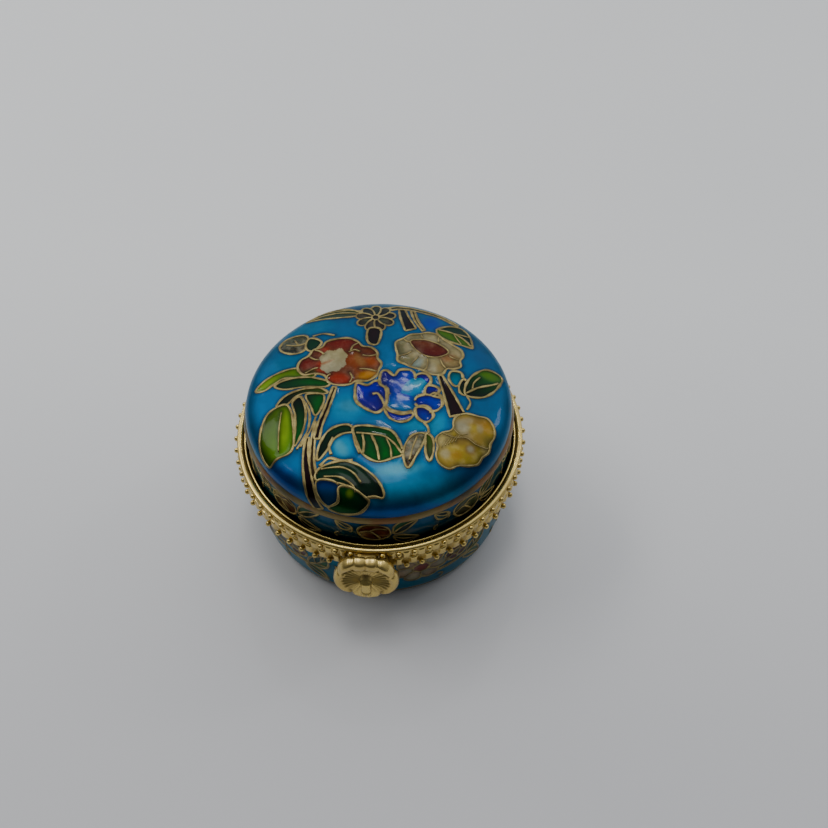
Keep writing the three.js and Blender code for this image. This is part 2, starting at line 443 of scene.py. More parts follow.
def leafOutline(base, tip, width, bend=0.0):
    # middle line: a parabola from base to tip; half width: sine of pi times t to the power 0.8
    base, tip = np.array(base, float), np.array(tip, float)
    t = np.linspace(0, 1, 22)[:, None]
    along = tip - base
    across = np.array([-along[1], along[0]]) / np.hypot(*along)
    middle = base + along * t + across * bend * 4 * t * (1 - t)
    half = across * width / 2 * np.sin(math.pi * t ** 0.8) ** 0.85
    return np.concatenate([(middle + half), (middle - half)[-2:0:-1]]), middle


def placed(x, y, centre, angle):
    # points turned round zero by an angle in degrees, then moved to the centre
    turn = math.radians(angle)
    return np.stack([centre[0] + x * math.cos(turn) - y * math.sin(turn),
                     centre[1] + x * math.sin(turn) + y * math.cos(turn)], -1)


def petalOutline(centre, angle, inner, outer, width):
    # an egg that widens towards its outer end, turned to the angle in degrees
    t = wholeTurn(28)
    along = (1 - np.cos(t)) / 2
    x = inner + (outer - inner) * along
    y = width / 2 * np.sin(t) * (0.62 + 0.5 * along)
    return placed(x, y, centre, angle)


def ovalOutline(centre, across, up, scallops, depth):
    # an ellipse whose radius swells and shrinks a number of times round
    t = wholeTurn(24 + 8 * scallops)
    reach = 1 - depth + depth * np.abs(np.cos(t * scallops / 2))
    return placed(across * reach * np.cos(t), up * reach * np.sin(t), centre, 0)


def inside(spots, outline):
    # which spots have an odd number of outline edges to their left
    found = np.zeros(len(spots), bool)
    low, high = outline.min(0), outline.max(0)
    near = np.flatnonzero(((spots > low) & (spots < high)).all(1))
    x, y = spots[near, 0][:, None], spots[near, 1][:, None]
    a, b = outline, np.roll(outline, -1, 0)
    rise = np.where(b[:, 1] == a[:, 1], 1e-9, b[:, 1] - a[:, 1])
    meets = (b[:, 0] - a[:, 0]) * (y - a[:, 1]) / rise + a[:, 0]
    crosses = ((a[:, 1] > y) != (b[:, 1] > y)) & (x < meets)
    found[near] = crosses.sum(1) % 2 == 1
    return found


class Picture:
    # Coloured cells and soft stains in the order in which they cover each other, and the wires between.
    def __init__(self, wireWidth):
        self.wireWidth = wireWidth
        self.layers, self.wires = [], []

    def fill(self, outline, first, second=None, direction=(0, -1), mottle=0.0, wire=1.0):
        # the colour runs from first to second along the direction, across the whole cell
        outline = evenSteps(np.asarray(outline, float), 0.3, True)
        second = first if second is None else second
        direction = np.array(direction, float)
        self.layers.append(("cell", outline, tone(first), tone(second), direction, mottle))
        if wire:
            self.wires.append((outline, self.wireWidth * wire, True, len(self.layers)))

    def cell(self, points, first, second=None, **options):
        self.fill(curve(points, True), first, second, **options)

    def stain(self, centre, reach, colour, strength=1.0, turn=0.0, over=1):
        # a soft spot laid over the last few cells: strength times e to the minus distance to the fourth
        self.layers.append(("stain", np.array(centre, float), reach, tone(colour), strength, turn,
                            len(self.layers) - over))

    def shade(self, *spots):
        # several stains, one over the other, on the last cell
        for number, (centre, reach, colour, strength, turn) in enumerate(spots):
            self.stain(centre, reach, colour, strength, turn, number + 1)

    def pool(self, centre, reach, colour, strength=1.0, turn=0.0):
        # a soft patch on the ground, laid before the cells so that they cover it; used for painted
        # reflections and painted shade in the glaze as well as for changes in its colour
        self.stain(centre, reach, colour, strength, turn, len(self.layers) + 1)

    def wire(self, points, width=1.0, closed=False):
        self.wires.append((curve(points, closed), self.wireWidth * width, closed, len(self.layers)))

    def seams(self, width, *lines):
        for points in lines:
            self.wire(points, width)

    def leaf(self, base, tip, width, first, second, bend=0.0, veins=0, **options):
        outline, middle = leafOutline(base, tip, width, bend)
        half = len(middle)
        self.fill(outline, first, first, wire=0, **options)
        lower = np.concatenate([middle, outline[half:]])
        self.fill(lower, second, second, wire=0, **options)
        self.wires.append((evenSteps(outline, 0.3, True), self.wireWidth, True, len(self.layers)))
        self.wires.append((evenSteps(middle[1:-1], 0.3, False), self.wireWidth * 0.8, False,
                           len(self.layers)))
        for number in range(veins):
            start = middle[int((number + 1) / (veins + 1.5) * half)]
            place = int((number + 1.9) / (veins + 1.5) * half)
            for edge in (outline[min(place, half - 1)], outline[-min(place, half - 1)]):
                bow = start * 0.45 + edge * 0.55 + (edge - middle[place - 1]) * 0.05
                line = np.array([start, bow, edge])
                self.wire(line * 0.94 + start * 0.06, 0.6)

    def stem(self, points, startWidth, endWidth, colour, second=None):
        # a branch between two wires, its width running evenly from one end to the other
        middle = curve(points)
        slope = np.gradient(middle, axis=0)
        side = np.stack([-slope[:, 1], slope[:, 0]], -1) / np.hypot(*slope.T)[:, None]
        half = np.linspace(startWidth, endWidth, len(middle))[:, None] / 2
        self.fill(np.concatenate([middle + side * half, (middle - side * half)[::-1]]), colour, second)

    def blossom(self, centre, reach, petals, colours, turn=0.0, heart=0.3, squash=1.0, mottle=0.6,
                heartColour="cream"):
        for number in range(petals):
            colour = colours[number % len(colours)]
            angle = turn + 360 * number / petals
            width = 2 * math.pi * reach * 0.72 / petals * 1.12
            outline = petalOutline((0, 0), angle, reach * heart * 0.6, reach, width)
            outline = outline * (1, squash) + centre
            away = (math.cos(math.radians(angle)), math.sin(math.radians(angle)))
            self.fill(outline, colour[0], colour[1], direction=away, mottle=mottle)
        if heart:
            self.fill(ovalOutline(centre, reach * heart, reach * heart * squash, 7, 0.12),
                      heartColour, heartColour, mottle=mottle)

    def settle(self):
        # wires that a later cell covers are cut off where it starts
        kept = []
        for path, width, closed, order in self.wires:
            hidden = np.zeros(len(path), bool)
            for layer in self.layers[order:]:
                if layer[0] == "cell":
                    hidden |= inside(path, layer[1])
            if not hidden.any():
                kept.append((path, width, closed))
                continue
            if closed:
                start = int(np.argmax(hidden))
                path, hidden = np.roll(path, -start, 0), np.roll(hidden, -start)
            edges = np.flatnonzero(np.diff(np.concatenate([[1], hidden.astype(int), [1]])))
            for first, last in zip(edges[::2], edges[1::2]):
                if last - first > 3:
                    kept.append((path[max(first - 1, 0):last + 1], width, False))
        self.wires = kept

    def paint(self, spots, ground):
        # colour, distance to the nearest wire and mottling at each spot of the sheet
        colour, mottle = ground.copy(), np.zeros(len(spots))
        owner = np.full(len(spots), -1)
        for number, (kind, *layer) in enumerate(self.layers):
            if kind == "stain":
                centre, reach, stainColour, strength, turn, since = layer
                away = spots - centre
                turn = math.radians(turn)
                x = (away[:, 0] * math.cos(turn) + away[:, 1] * math.sin(turn)) / reach[0]
                y = (-away[:, 0] * math.sin(turn) + away[:, 1] * math.cos(turn)) / reach[1]
                amount = strength * np.exp(-(x * x + y * y) ** 2) * (owner >= since)
                colour = colour * (1 - amount[:, None]) + stainColour * amount[:, None]
                continue
            outline, first, second, direction, amount = layer
            near = np.flatnonzero(inside(spots, outline))
            along = outline @ direction
            t = (spots[near] @ direction - along.min()) / max(np.ptp(along), 1e-6)
            t = (t * t * (3 - 2 * t))[:, None]
            colour[near] = first * (1 - t) + second * t
            mottle[near], owner[near] = amount, number
        depth = np.full(len(spots), 2.0)
        for path, width, closed in self.wires:
            low, high = path.min(0) - 2, path.max(0) + 2
            near = np.flatnonzero(((spots > low) & (spots < high)).all(1))
            ahead = np.roll(path, -1, 0) - path if closed else np.diff(path, axis=0, append=path[-1:])
            length = np.maximum((ahead ** 2).sum(-1), 1e-9)
            for some in np.array_split(near, max(1, len(near) // 4000)):
                # to the nearest place on each piece of the wire, at the share t of its length
                gap = spots[some][:, None] - path[None]
                t = clip01((gap * ahead).sum(-1) / length)[..., None]
                gap = np.sqrt(((gap - t * ahead) ** 2).sum(-1)).min(1) - width / 2
                depth[some] = np.minimum(depth[some], np.maximum(gap, 0))
        return colour, depth, mottle

    def ribbons(self, place, height):
        # each wire is a low strip with rounded shoulders on the surface, a little uneven in width
        parts = []
        for path, width, closed in self.wires:
            slope = (np.roll(path, -1, 0) - np.roll(path, 1, 0)) if closed else np.gradient(path, axis=0)
            length = np.maximum(np.hypot(*slope.T), 1e-9)[:, None]
            side = np.stack([-slope[:, 1], slope[:, 0]], -1) / length
            uneven = 1 + 0.16 * np.sin(path @ (2.1, 1.3) + 1) + 0.12 * np.sin(path @ (-1.7, 3.9))
            section = np.array([(-0.5, -0.14), (-0.5, 0.3 * height), (-0.3, height), (0.3, height),
                                (0.5, 0.3 * height), (0.5, -0.14)])
            side = (side * uneven[:, None])[:, None]
            flat = path[:, None] + side * (section[:, 0] * width)[None, :, None]
            lift = np.tile(section[:, 1], (len(path), 1))
            points = place(flat[..., 0], flat[..., 1], lift)
            ends = (None, None) if closed else (points[0].mean(0), points[-1].mean(0))
            parts.append(gridPart(points, wrapRows=closed, wrapCols=True, poles=ends))
        return parts


# The lid: its dome and wall, and their pictures.

lid = {"power": 3.2, "shoulderAbove": 8.3, "shoulderRadius": 22.0, "wall": 1.4, "segments": 560,
       "domeRows": 116, "wallRows": 24, "insideRows": 24, "wireWidth": 0.42, "wallWireWidth": 0.34,
       "wireHeight": 0.07, "sag": 0.07, "unevenness": 0.009, "wallBlossoms": 9, "footShade": 0.28,
       "shoulderWire": (0.42, 0.84, 32)}


def lidProfile():
    low, high = nodeBox("lid_dome")
    shoulder = partHeight + lid["shoulderAbove"]
    r, z = superArc(lid["shoulderRadius"], high[2] - shoulder, lid["power"], 1500)
    wallZ = np.linspace(shoulder, low[2], 200)[1:]
    flare = high[0] - lid["shoulderRadius"]
    wallR = lid["shoulderRadius"] + flare * (shoulder - wallZ) / (shoulder - low[2])
    return Turned((np.concatenate([r, wallR]), np.concatenate([z + shoulder, wallZ])), 1), shoulder


def lidPicture():
    p = Picture(lid["wireWidth"])
    # the pale sky and gleam patches are painted reflections of the lamps; the deepGround and royal
    # patches at the far and front edges are painted shade
    for centre, reach, colour, strength, turn in (
            ((-4.6, -4.9), (3.2, 2.8), "sky", 0.6, 0), ((4.6, -15.4), (4.6, 1.6), "sky", 0.8, 12),
            ((-4.3, -12.4), (1.6, 1.8), "sky", 1, 0), ((-4.7, -12.4), (0.8, 1.7), "gleam", 0.45, 35),
            ((4.4, -15.6), (3.4, 1), "gleam", 0.45, 12), ((-4, -4.4), (1.8, 1.2), "gleam", 0.25, 0),
            ((6.5, -19.2), (11, 3), "sky", 0.75, 12),
            ((-14.2, -18.2), (4.4, 2.6), "royal", 0.6, -35),
            ((9.8, -7.2), (1.3, 2.2), "sky", 0.9, -15), ((6.4, -7.6), (2, 1.2), "sky", 0.8, 0),
            ((-15.5, 4.6), (3.4, 2.2), "sky", 0.35, 20), ((1.4, 8), (1.8, 5), "ground", 0.6, 0),
            ((17.5, -14.5), (5, 3.2), "deepGround", 0.45, 50), ((5, -22.6), (13, 1.9), "royal", 0.5, 8),
            ((-8, 17.5), (12, 2.6), "deepGround", 0.5, 0), ((7.8, 15.2), (1.8, 2), "royal", 0.8, 0),
            ((-13, 13), (4, 2), "sky", 0.4, 15), ((15.5, 11), (3, 6), "deepGround", 0.3, 20)):
        p.pool(centre, reach, colour, strength, turn)
    # branches that come down from the far edge
    p.leaf((-4.2, 16.6), (-14.2, 15), 3, "sage", "moss", bend=-1.2)
    p.wire([(-4, 17.6), (-8, 17.9), (-12.5, 17.2)], 0.6)
    p.wireWidth = 0.75 * lid["wireWidth"]
    p.blossom((-1.9, 15.8), 3.5, 9, [("bark", "plum"), ("plum", "bark"), ("sage", "plum")], turn=14,
              heart=0.2, squash=1.05, mottle=0.1, heartColour="plum")
    p.wireWidth = lid["wireWidth"]
    p.cell([(-2.7, 12.8), (-2.9, 10.4), (-2.2, 9), (-0.9, 9.2), (-0.7, 12.6)], "plum")
    p.stem([(0.4, 18.6), (2.2, 19.2), (5, 18.9), (9, 17.8), (12.5, 15.8)], 1, 0.6, "bark")
    p.stem([(2.5, 18.6), (3.2, 16), (4.4, 13)], 1.1, 2, "plum")
    p.stem([(4.4, 18.4), (5.2, 15.6), (6.6, 13)], 0.7, 0.5, "bark")
    p.leaf((8.8, 13.6), (15.1, 10), 4.6, "bottle", "leaf", bend=1.1, veins=1)
    # small leaves at the left of the orange blossom
    p.cell([(-13, 10.4), (-14.6, 11), (-17, 10.2), (-17.7, 8.4), (-16.6, 6.9), (-14.4, 6.4),
            (-12.9, 7.6)], "sage", "pine", mottle=0.45)
    p.wire([(-12.9, 9), (-14.6, 8.4), (-16.6, 8.8)], 0.8)
    p.wire([(-14.4, 8.5), (-15.2, 9.8)], 0.7)
    p.cell([(-12.9, 7.6), (-12.9, 9.8), (-11.6, 10), (-10.4, 8.9), (-11.6, 7)], "bottle")
    p.wire([(-12.2, 10.6), (-10.4, 11.2), (-8.4, 10.8)], 0.9)
    # long leaf under it and the big leaf below
    p.cell([(-20.2, -1.2), (-18.6, 0.9), (-15.4, 2.7), (-12.4, 3), (-10.4, 1.6), (-12, 0.8),
            (-15.4, 0.9), (-17.2, -0.4), (-18.6, -1.5)], "lime", "leaf", direction=(1, 0))
    p.cell([(-16.9, -0.7), (-15, 0.6), (-11.6, 1.1), (-8.2, 0.3), (-8.4, -0.8), (-12, -1), (-15, -1.5)],
           "bottle", "fern", direction=(1, 0))
    p.cell([(-15.9, -5), (-14.9, -3), (-12.6, -1.6), (-9.6, -1.1), (-7.9, -2), (-9, -2.3),
            (-11.4, -2.2), (-13, -3), (-14.2, -4.6)], "pine", "moss", direction=(1, 0))
    p.cell([(-14.3, -4.6), (-15.7, -5), (-17.2, -6.4), (-17.9, -9), (-17.9, -12), (-17.1, -14.4),
            (-15.9, -15.5), (-14.6, -14.4), (-12.7, -13.6), (-12.1, -12.3), (-12.4, -9.5),
            (-13.2, -6.2)], "moss", "leaf", direction=(0.9, -0.3))
    p.stain((-14, -9), (0.8, 3.4), "lime", 0.9, 6)
    p.stain((-17, -12.4), (0.8, 2), "lime", 0.7)
    p.wire([(-14.9, -6), (-14.8, -9.4), (-14.4, -13.2)], 0.5)
    p.cell([(-13.4, -4.2), (-12.3, -3), (-11.2, -5), (-10.8, -7.4), (-11, -10), (-11.9, -12.4),
            (-12.2, -9.4), (-12.6, -6.6)], "pine", "fern")
    p.cell([(-11.4, -2.6), (-8.7, -2.4), (-8.4, -4.4), (-9.3, -6.7), (-10.3, -4.9)], "fern", "bottle",
           direction=(-1, 0.3))
    p.wire([(-12.2, -2.8), (-10.6, -5.4), (-10.1, -8), (-10.4, -10.4), (-11.5, -13)], 1)
    p.wire([(-9.2, -6.8), (-9.7, -9.4), (-11, -12.6)], 0.9)
    # the trunk, with a thinner one beside it
    p.stem([(-8.9, -7.8), (-9.1, -11), (-9, -13.4), (-8.7, -15.8), (-7.9, -18.4)], 0.5, 0.9, "bark")
    p.stem([(-7, -0.8), (-7.7, -5), (-8.4, -8.4), (-8.6, -11)], 0.6, 0.9, "plum")
    p.stem([(-10, -10.8), (-10, -13), (-9.6, -16), (-8.9, -19), (-8, -22.8)], 0.5, 1.8, "plum")
    # leaves in the middle
    p.cell([(-8, -14.8), (-8.1, -12.4), (-7.2, -9.9), (-5.8, -8.6), (-3.9, -8.2), (-2.9, -9.4),
            (-4.6, -9.9), (-5.9, -11), (-6.8, -13.2)], "bottle", "pine", direction=(-0.5, -1))
    p.cell([(-3.2, -8.8), (-1.4, -8.2), (0.8, -8.4), (2.8, -8.9), (4.1, -10.6), (4.9, -12.9),
            (3.4, -13.8), (1.2, -14.6), (-1, -13.6), (-2.2, -11.6)], "bottle", "fern",
           direction=(1, -0.6))
    p.wire([(-2.6, -9.6), (-0.4, -9.7), (1.8, -10), (3.4, -11.2), (4.8, -13)], 0.9)
    p.wire([(-1.6, -9.8), (-1.2, -11.6), (-1.2, -13.4)], 0.9)
    p.wire([(-0.2, -9.9), (0.8, -12), (1.4, -14.4)], 1.1)
    p.wire([(2.1, -10.3), (2.9, -12), (3.2, -13.9)], 0.8)
    p.cell([(4.9, -13), (5.3, -10.8), (6.3, -9.3), (8, -9), (7.9, -10.6), (7, -12.8), (5.8, -15.3)],
           "sage", "pine", mottle=0.6)
    p.wire([(6.9, -9.4), (6.3, -11.6), (5.9, -14)], 0.7)
    p.cell([(8.2, -8.9), (9.3, -9.8), (9.5, -12), (9, -13.8), (8.3, -12.4), (8.2, -10.6)], "moss",
           "sage")
    p.wire([(7.6, -6.8), (8.4, -7.8), (8.6, -9)], 0.9)
    p.cell([(-7.8, -16.4), (-6.2, -15.3), (-4.2, -14.8), (-2.2, -15.1), (-0.4, -16.1), (1.2, -17.4),
            (2.3, -19), (2.5, -20.3), (1.2, -20.2), (-0.4, -20.4), (-1.8, -19.6), (-4.2, -18.4),
            (-7.8, -18)], "pine", "bottle", direction=(-0.5, 1))
    p.cell([(-7.7, -18), (-5.4, -18), (-4.1, -19.2), (-4.4, -21.6), (-6.2, -22), (-7.7, -20)],
           "deepGround", "ground")
    p.cell([(-4.3, -19), (-2.6, -18.9), (-0.4, -20.2), (0.4, -21.2), (-1.2, -23), (-4, -23.4),
            (-6.1, -22.3), (-4.4, -21.2)], "fern", "bottle", direction=(0.9, 0.2))
    for x, y in ((-2.6, -19.9), (-3.6, -21.9), (-5, -22.4), (-1.6, -21.8)):
        p.stain((x, y), (0.55, 0.7), "lime", 0.8)
    p.wire([(-7.4, -16.2), (-4.4, -15.8), (-2.4, -16.6), (-1, -18.2)], 0.8)
    p.wire([(-6.8, -17.4), (-4.4, -17.4), (-2.4, -18.5), (-1.7, -19.6)], 0.8)
    p.wire([(-7.6, -15.8), (-6.3, -14.4), (-4.6, -14.7), (-2.6, -14.6)], 1.3)
    p.wire([(-6.1, -10.6), (-6.5, -12.2), (-6, -13.8)], 1)
    p.wire([(-3, -9.6), (-2.6, -11.4), (-1.7, -13.4)], 1)
    # orange blossom: one lumpy outline, short uneven seams, soft colours and a pale heart
    p.cell([(-9.6, 9.2), (-8, 9.9), (-6, 10.2), (-4.3, 9.4), (-3.4, 8.4), (-1.9, 8.2), (-0.8, 7.1),
            (-0.7, 5.9), (0.1, 4.7), (-0.2, 3.3), (-0.5, 2), (-1.8, 0.8), (-3.6, 0.7), (-4.6, -0.1),
            (-6.6, -0.4), (-8.2, 0.2), (-8.9, 1.5), (-10.6, 1.9), (-12.4, 1.6), (-13.6, 3),
            (-13.4, 4.7), (-12.2, 5.8), (-11.6, 7.2), (-10.2, 7.9)], "rust", mottle=0.12)
    p.shade(((-6.6, 9), (3.4, 1.5), "brick", 1, 0), ((-3, 7.6), (1.7, 1.3), "rust", 0.9, -30),
            ((-1.5, 5.3), (1.4, 1.3), "orange", 0.9, 0), ((-2, 2), (1.9, 1.1), "amber", 1, 25),
            ((-6.4, 0.9), (2.1, 1.4), "coral", 1, 0), ((-9.8, 2.9), (0.9, 2), "coral", 0.9, 12),
            ((-11.4, 2.3), (1.2, 0.8), "moss", 0.6, 0), ((-12.1, 4.1), (1.7, 1.4), "brick", 1, 0),
            ((-9.9, 7), (1.2, 1.3), "coral", 0.9, 40), ((-11.2, 6.4), (1, 1), "rust", 0.8, 0),
            ((-4.2, 4.4), (1.9, 2.4), "orange", 0.75, 0), ((-3.5, 5.2), (0.8, 1.8), "sand", 0.45, 30),
            ((-4.9, 2.8), (0.9, 1.2), "rust", 0.7, 0))
    p.cell([(-9.9, 3), (-9.8, 4.2), (-10.3, 5.3), (-9.7, 6.3), (-9.1, 7.2), (-8, 7.2), (-6.9, 7.8),
            (-6.3, 6.9), (-5.6, 6.2), (-6, 5.2), (-5.7, 4), (-6.5, 3.3), (-7, 2.5), (-7.9, 2.6),
            (-8.5, 1.9), (-9.2, 2.6)], "cream", "ivory", mottle=0.3, wire=0)
    for centre, reach, turn in (((-9.2, 4.4), (1.5, 0.3), 30), ((-8.4, 3.2), (1.3, 0.26), 65),
                                ((-6.4, 5), (1.3, 0.3), 15), ((-7.4, 7), (1.2, 0.26), 75),
                                ((-8.8, 6.2), (1.2, 0.24), -40)):
        p.stain(centre, reach, "orange", 0.7, turn)
    p.stain((-8, 5.2), (0.8, 1.1), "sand", 0.55, 20)
    p.seams(0.7, ((-4.2, 9.1), (-5, 8.4), (-5.3, 7.3)), ((-11.4, 7.2), (-10.4, 6.9), (-9.6, 6.2)),
            ((-12, 5.6), (-11, 5), (-10.3, 5)), ((-12.2, 1.9), (-11, 2.9), (-10.2, 3.2)),
            ((-8.4, 0.5), (-8.5, 1.4), (-8, 1.9)), ((-4.7, 0.2), (-4.4, 1.4), (-4.9, 2.4)),
            ((-0.5, 2.9), (-2, 3.3), (-3.4, 3.3)), ((-0.9, 6.6), (-2.2, 6.2), (-3.2, 6.4)),
            ((-5.6, 6.9), (-4.6, 7.5), (-3.7, 7.1)))
    # cream blossom with a red heart
    p.cell([(2.2, 8.2), (2.1, 9.7), (3.3, 10.7), (4.4, 11.7), (6, 12.1), (7.3, 12.6), (9, 12.3),
            (10.2, 11.2), (11.8, 10), (13.2, 9), (13.5, 7.6), (13, 6.5), (13.2, 5.2), (12, 4.5),
            (10.9, 4.4), (10.2, 3.2), (8.6, 2.9), (7.4, 3.5), (6.4, 3.9), (5, 4.3), (3.8, 4.9),
            (2.7, 5.5), (2.6, 6.8)], "cream", mottle=0.35)
    # the pearl spot at the lower left is a painted highlight
    p.shade(((2.9, 8.4), (1, 2.4), "sage", 0.75, 0), ((4, 6), (2, 1.1), "sage", 0.6, -30),
            ((6, 5.2), (0.8, 1.5), "pearl", 1, -25), ((12.2, 6.4), (1.6, 2), "sand", 0.65, 0),
            ((10.2, 4.8), (1.4, 1), "sand", 0.55, 40), ((10.8, 6.9), (1.4, 0.9), "orange", 0.55, 20),
            ((8.4, 4.4), (0.8, 1.2), "ivory", 0.6, 0), ((5.4, 11.2), (2.4, 0.8), "sage", 0.45, 20),
            ((4.3, 8.6), (0.8, 1.2), "ivory", 0.5, 0))
    p.cell([(4.5, 10.1), (5.9, 10.7), (7.6, 10.6), (9.6, 9.8), (11, 8.5), (10.6, 7.6), (9, 6.8),
            (7.2, 7), (5.6, 8.2)], "rust", "garnet", direction=(0.1, -1), mottle=0.15, wire=0.6)
    p.stain((7.6, 7.9), (1.8, 0.8), "garnet", 0.9)
    p.seams(0.55, ((3.4, 10.5), (4, 10), (4.6, 9.9)), ((6.2, 12), (6.4, 11.4), (6.6, 11)),
            ((9.4, 12), (9.2, 11.2), (9.3, 10.4)), ((12.9, 6.6), (11.9, 6.9), (11.2, 7.4)),
            ((10.7, 4.5), (10.1, 5.4), (9.7, 6.4)), ((7.2, 3.7), (7.7, 4.8), (7.6, 6.4)),
            ((4.9, 4.5), (5.4, 5.6), (6.1, 6.7)), ((2.8, 6.6), (3.9, 7), (4.9, 7.8)))
    # stem and leaves at the right
    p.stem([(9.8, 2.9), (11, 0), (12.9, -5)], 0.7, 2.5, "plum")
    p.cell([(11.3, 2.2), (11.6, 3.9), (13.3, 3.8), (13.5, 1.9), (12.4, 0.8)], "teal", "sky")
    p.cell([(13.8, 2.6), (14.4, 1.2), (14.2, -0.8), (13.2, -0.4), (13, 1.2)], "pine", "bottle")
    p.cell([(14.2, -0.8), (14.1, 1.4), (15.4, 3.8), (17.6, 5.4), (20.3, 4.6), (19.8, 2.6), (18.4, 0.4),
            (16.6, -0.9)], "pine", "fern", direction=(0.3, 1))
    p.stain((18.2, 4.2), (2.2, 1.1), "leaf", 0.95, -10)
    p.stain((15.9, 0.3), (1.8, 0.9), "pine", 0.9, 15)
    p.wire([(14.2, -0.4), (16, 1), (18.4, 2.2), (19.6, 3)], 0.9)
    p.wire([(15.2, 0.6), (15.4, 2), (16.4, 3.4)], 0.7)
    p.wire([(14.2, -0.8), (14.9, -2.2), (14.4, -3.8)], 0.9)
    # cobalt blossom
    p.cell([(-3.5, 0.3), (-1.8, -0.1), (-0.6, 0.9), (0.6, 0.5), (1.4, -1), (1.6, -3.2), (1.2, -4.6),
            (0.2, -5.6), (-1.6, -4.9), (-3.2, -3.5), (-3.6, -1.6)], "cobalt", "navy",
           direction=(0.4, -1), wire=1.3)
    p.cell([(0.2, 0.4), (0.2, 2.8), (1.2, 3.2), (2.4, 2.2), (3.2, 3.5), (5.2, 3.5), (5.8, 2), (5.2, 0),
            (4.4, -1.8), (2, -1.8), (1.5, -0.6)], "navy", "royal", direction=(1, -0.3), wire=1.2)
    p.stain((1, 1.9), (0.9, 1), "navy", 0.9)
    p.cell([(5.8, 2.1), (6.6, 3), (7.7, 2.9), (8.4, 1.9), (8.1, 0.7), (7.2, 1)], "navy", "cobalt",
           wire=1.2)
    p.cell([(7.8, 0.4), (9, 0.5), (9.9, -0.2), (9.2, -1.4), (7.6, -1.4)], "cobalt", "navy", wire=1.2)
    p.cell([(3.8, -1.5), (4.1, 0.2), (5.1, 1.6), (6.7, 2), (7.7, 1.2), (7.5, -0.3), (6.4, -1.3),
            (5.2, -1.9)], "sky", "azure", direction=(-0.4, -1), wire=0)
    # painted highlight on the pale middle of the blossom
    p.stain((6.3, 0.9), (1.1, 0.6), "gleam", 0.5, 30)
    p.cell([(6.2, -2.2), (7.6, -1.4), (9.2, -1.7), (10.4, -2), (10.4, -3.4), (9.3, -4.6), (7.6, -4),
            (6.3, -3.6)], "cobalt", "royal", direction=(1, -0.2), wire=1.2)
    p.cell([(6.3, -4.2), (7.6, -4), (8.9, -4.8), (9.1, -5.8), (8.3, -6.8), (7.2, -6.6), (6.4, -5.6)],
           "navy", "royal", wire=1.2)
    p.cell([(1.2, -4.2), (2.4, -5.2), (4.2, -5.6), (6, -5.2), (5.4, -6.6), (3.8, -7.1), (2.2, -6.3)],
           "navy", "cobalt", wire=1.2)
    p.cell([(1.9, -1.8), (3.4, -1.4), (5.4, -1.8), (6.2, -3), (5.8, -4.7), (4.2, -5.1), (2.6, -4.4)],
           "royal", "ground", direction=(0, -1), wire=0)
    p.wire([(-0.8, -1.9), (0, -1.7), (0.7, -2.6), (1.3, -3.8), (2.4, -4.9), (4.2, -5.3),
            (5.8, -4.9)], 1.3)
    p.wire([(6.6, -3.8), (7.7, -3.6), (8.6, -4.2), (8.7, -5.1)], 1.1)
    p.wire([(8.3, -1.5), (9.2, -0.9), (10.2, -1.6), (10.5, -3.4)], 1.2)
    # yellow blossom: two full heads, one over the other, with painted highlights in ivory and painted
    # shade in moss that make them look like balls of petals
    p.cell([(12.3, -6.4), (12.8, -5.2), (14.3, -4.5), (16.2, -4.7), (17.8, -4.9), (18.9, -6.2),
            (19.1, -7.8), (18.5, -9.2), (18.3, -10.7), (17.3, -11.8), (16.6, -13.1), (15, -13.7),
            (13.4, -14), (12, -14.7), (10.5, -14), (9.9, -12.6), (10.1, -11.2), (9.8, -9.7),
            (10.6, -8.6), (11.9, -8.1), (12.4, -7.3)], "gold", mottle=0.25, wire=0.9)
    p.shade(((13.7, -7), (1.3, 1.5), "ivory", 1, 30), ((15.4, -5.6), (2.6, 0.9), "sand", 0.8, 0),
            ((17.7, -6.4), (1.3, 1.4), "amber", 0.5, 0), ((16.6, -7), (0.6, 0.8), "ivory", 0.6, 0),
            ((16.4, -8.8), (2.6, 1.3), "sand", 0.55, 0), ((18.1, -9.4), (0.9, 1.6), "moss", 0.5, 0),
            ((10.9, -9.8), (1.1, 1.9), "ivory", 0.45, -30), ((13.6, -9.6), (1.5, 0.9), "sand", 0.7, 20),
            ((15, -13), (2.6, 0.9), "moss", 0.25, 15), ((12.1, -13.8), (2.2, 0.8), "sand", 0.4, 0),
            ((11.3, -12.2), (0.9, 0.9), "ivory", 0.7, 0), ((16.9, -11.6), (1, 1.4), "moss", 0.35, 30),
            ((15.2, -10.9), (0.95, 0.95), "sand", 1, 0), ((13.1, -12.2), (1, 0.8), "amber", 0.5, 15),
            ((14.3, -5.9), (1.3, 0.6), "ivory", 0.5, 25), ((15.2, -10.8), (0.55, 0.55), "ivory", 1, 0))
    p.wire([(10.8, -8.7), (12.6, -9.2), (14.4, -9), (16, -9.9), (17.6, -10.2), (18.2, -10)], 0.45)
    p.wire([(12.4, -7.6), (13.3, -8.5), (14.6, -8.3)], 0.4)
    for number in range(5):
        x, y = 10.7 + 0.5 * number, -11.2 + 0.3 * number
        p.wire([(x, y), (x + 0.35, y + 0.8), (x + 0.8, y + 1.5)], 0.3)
    p.settle()
    return p


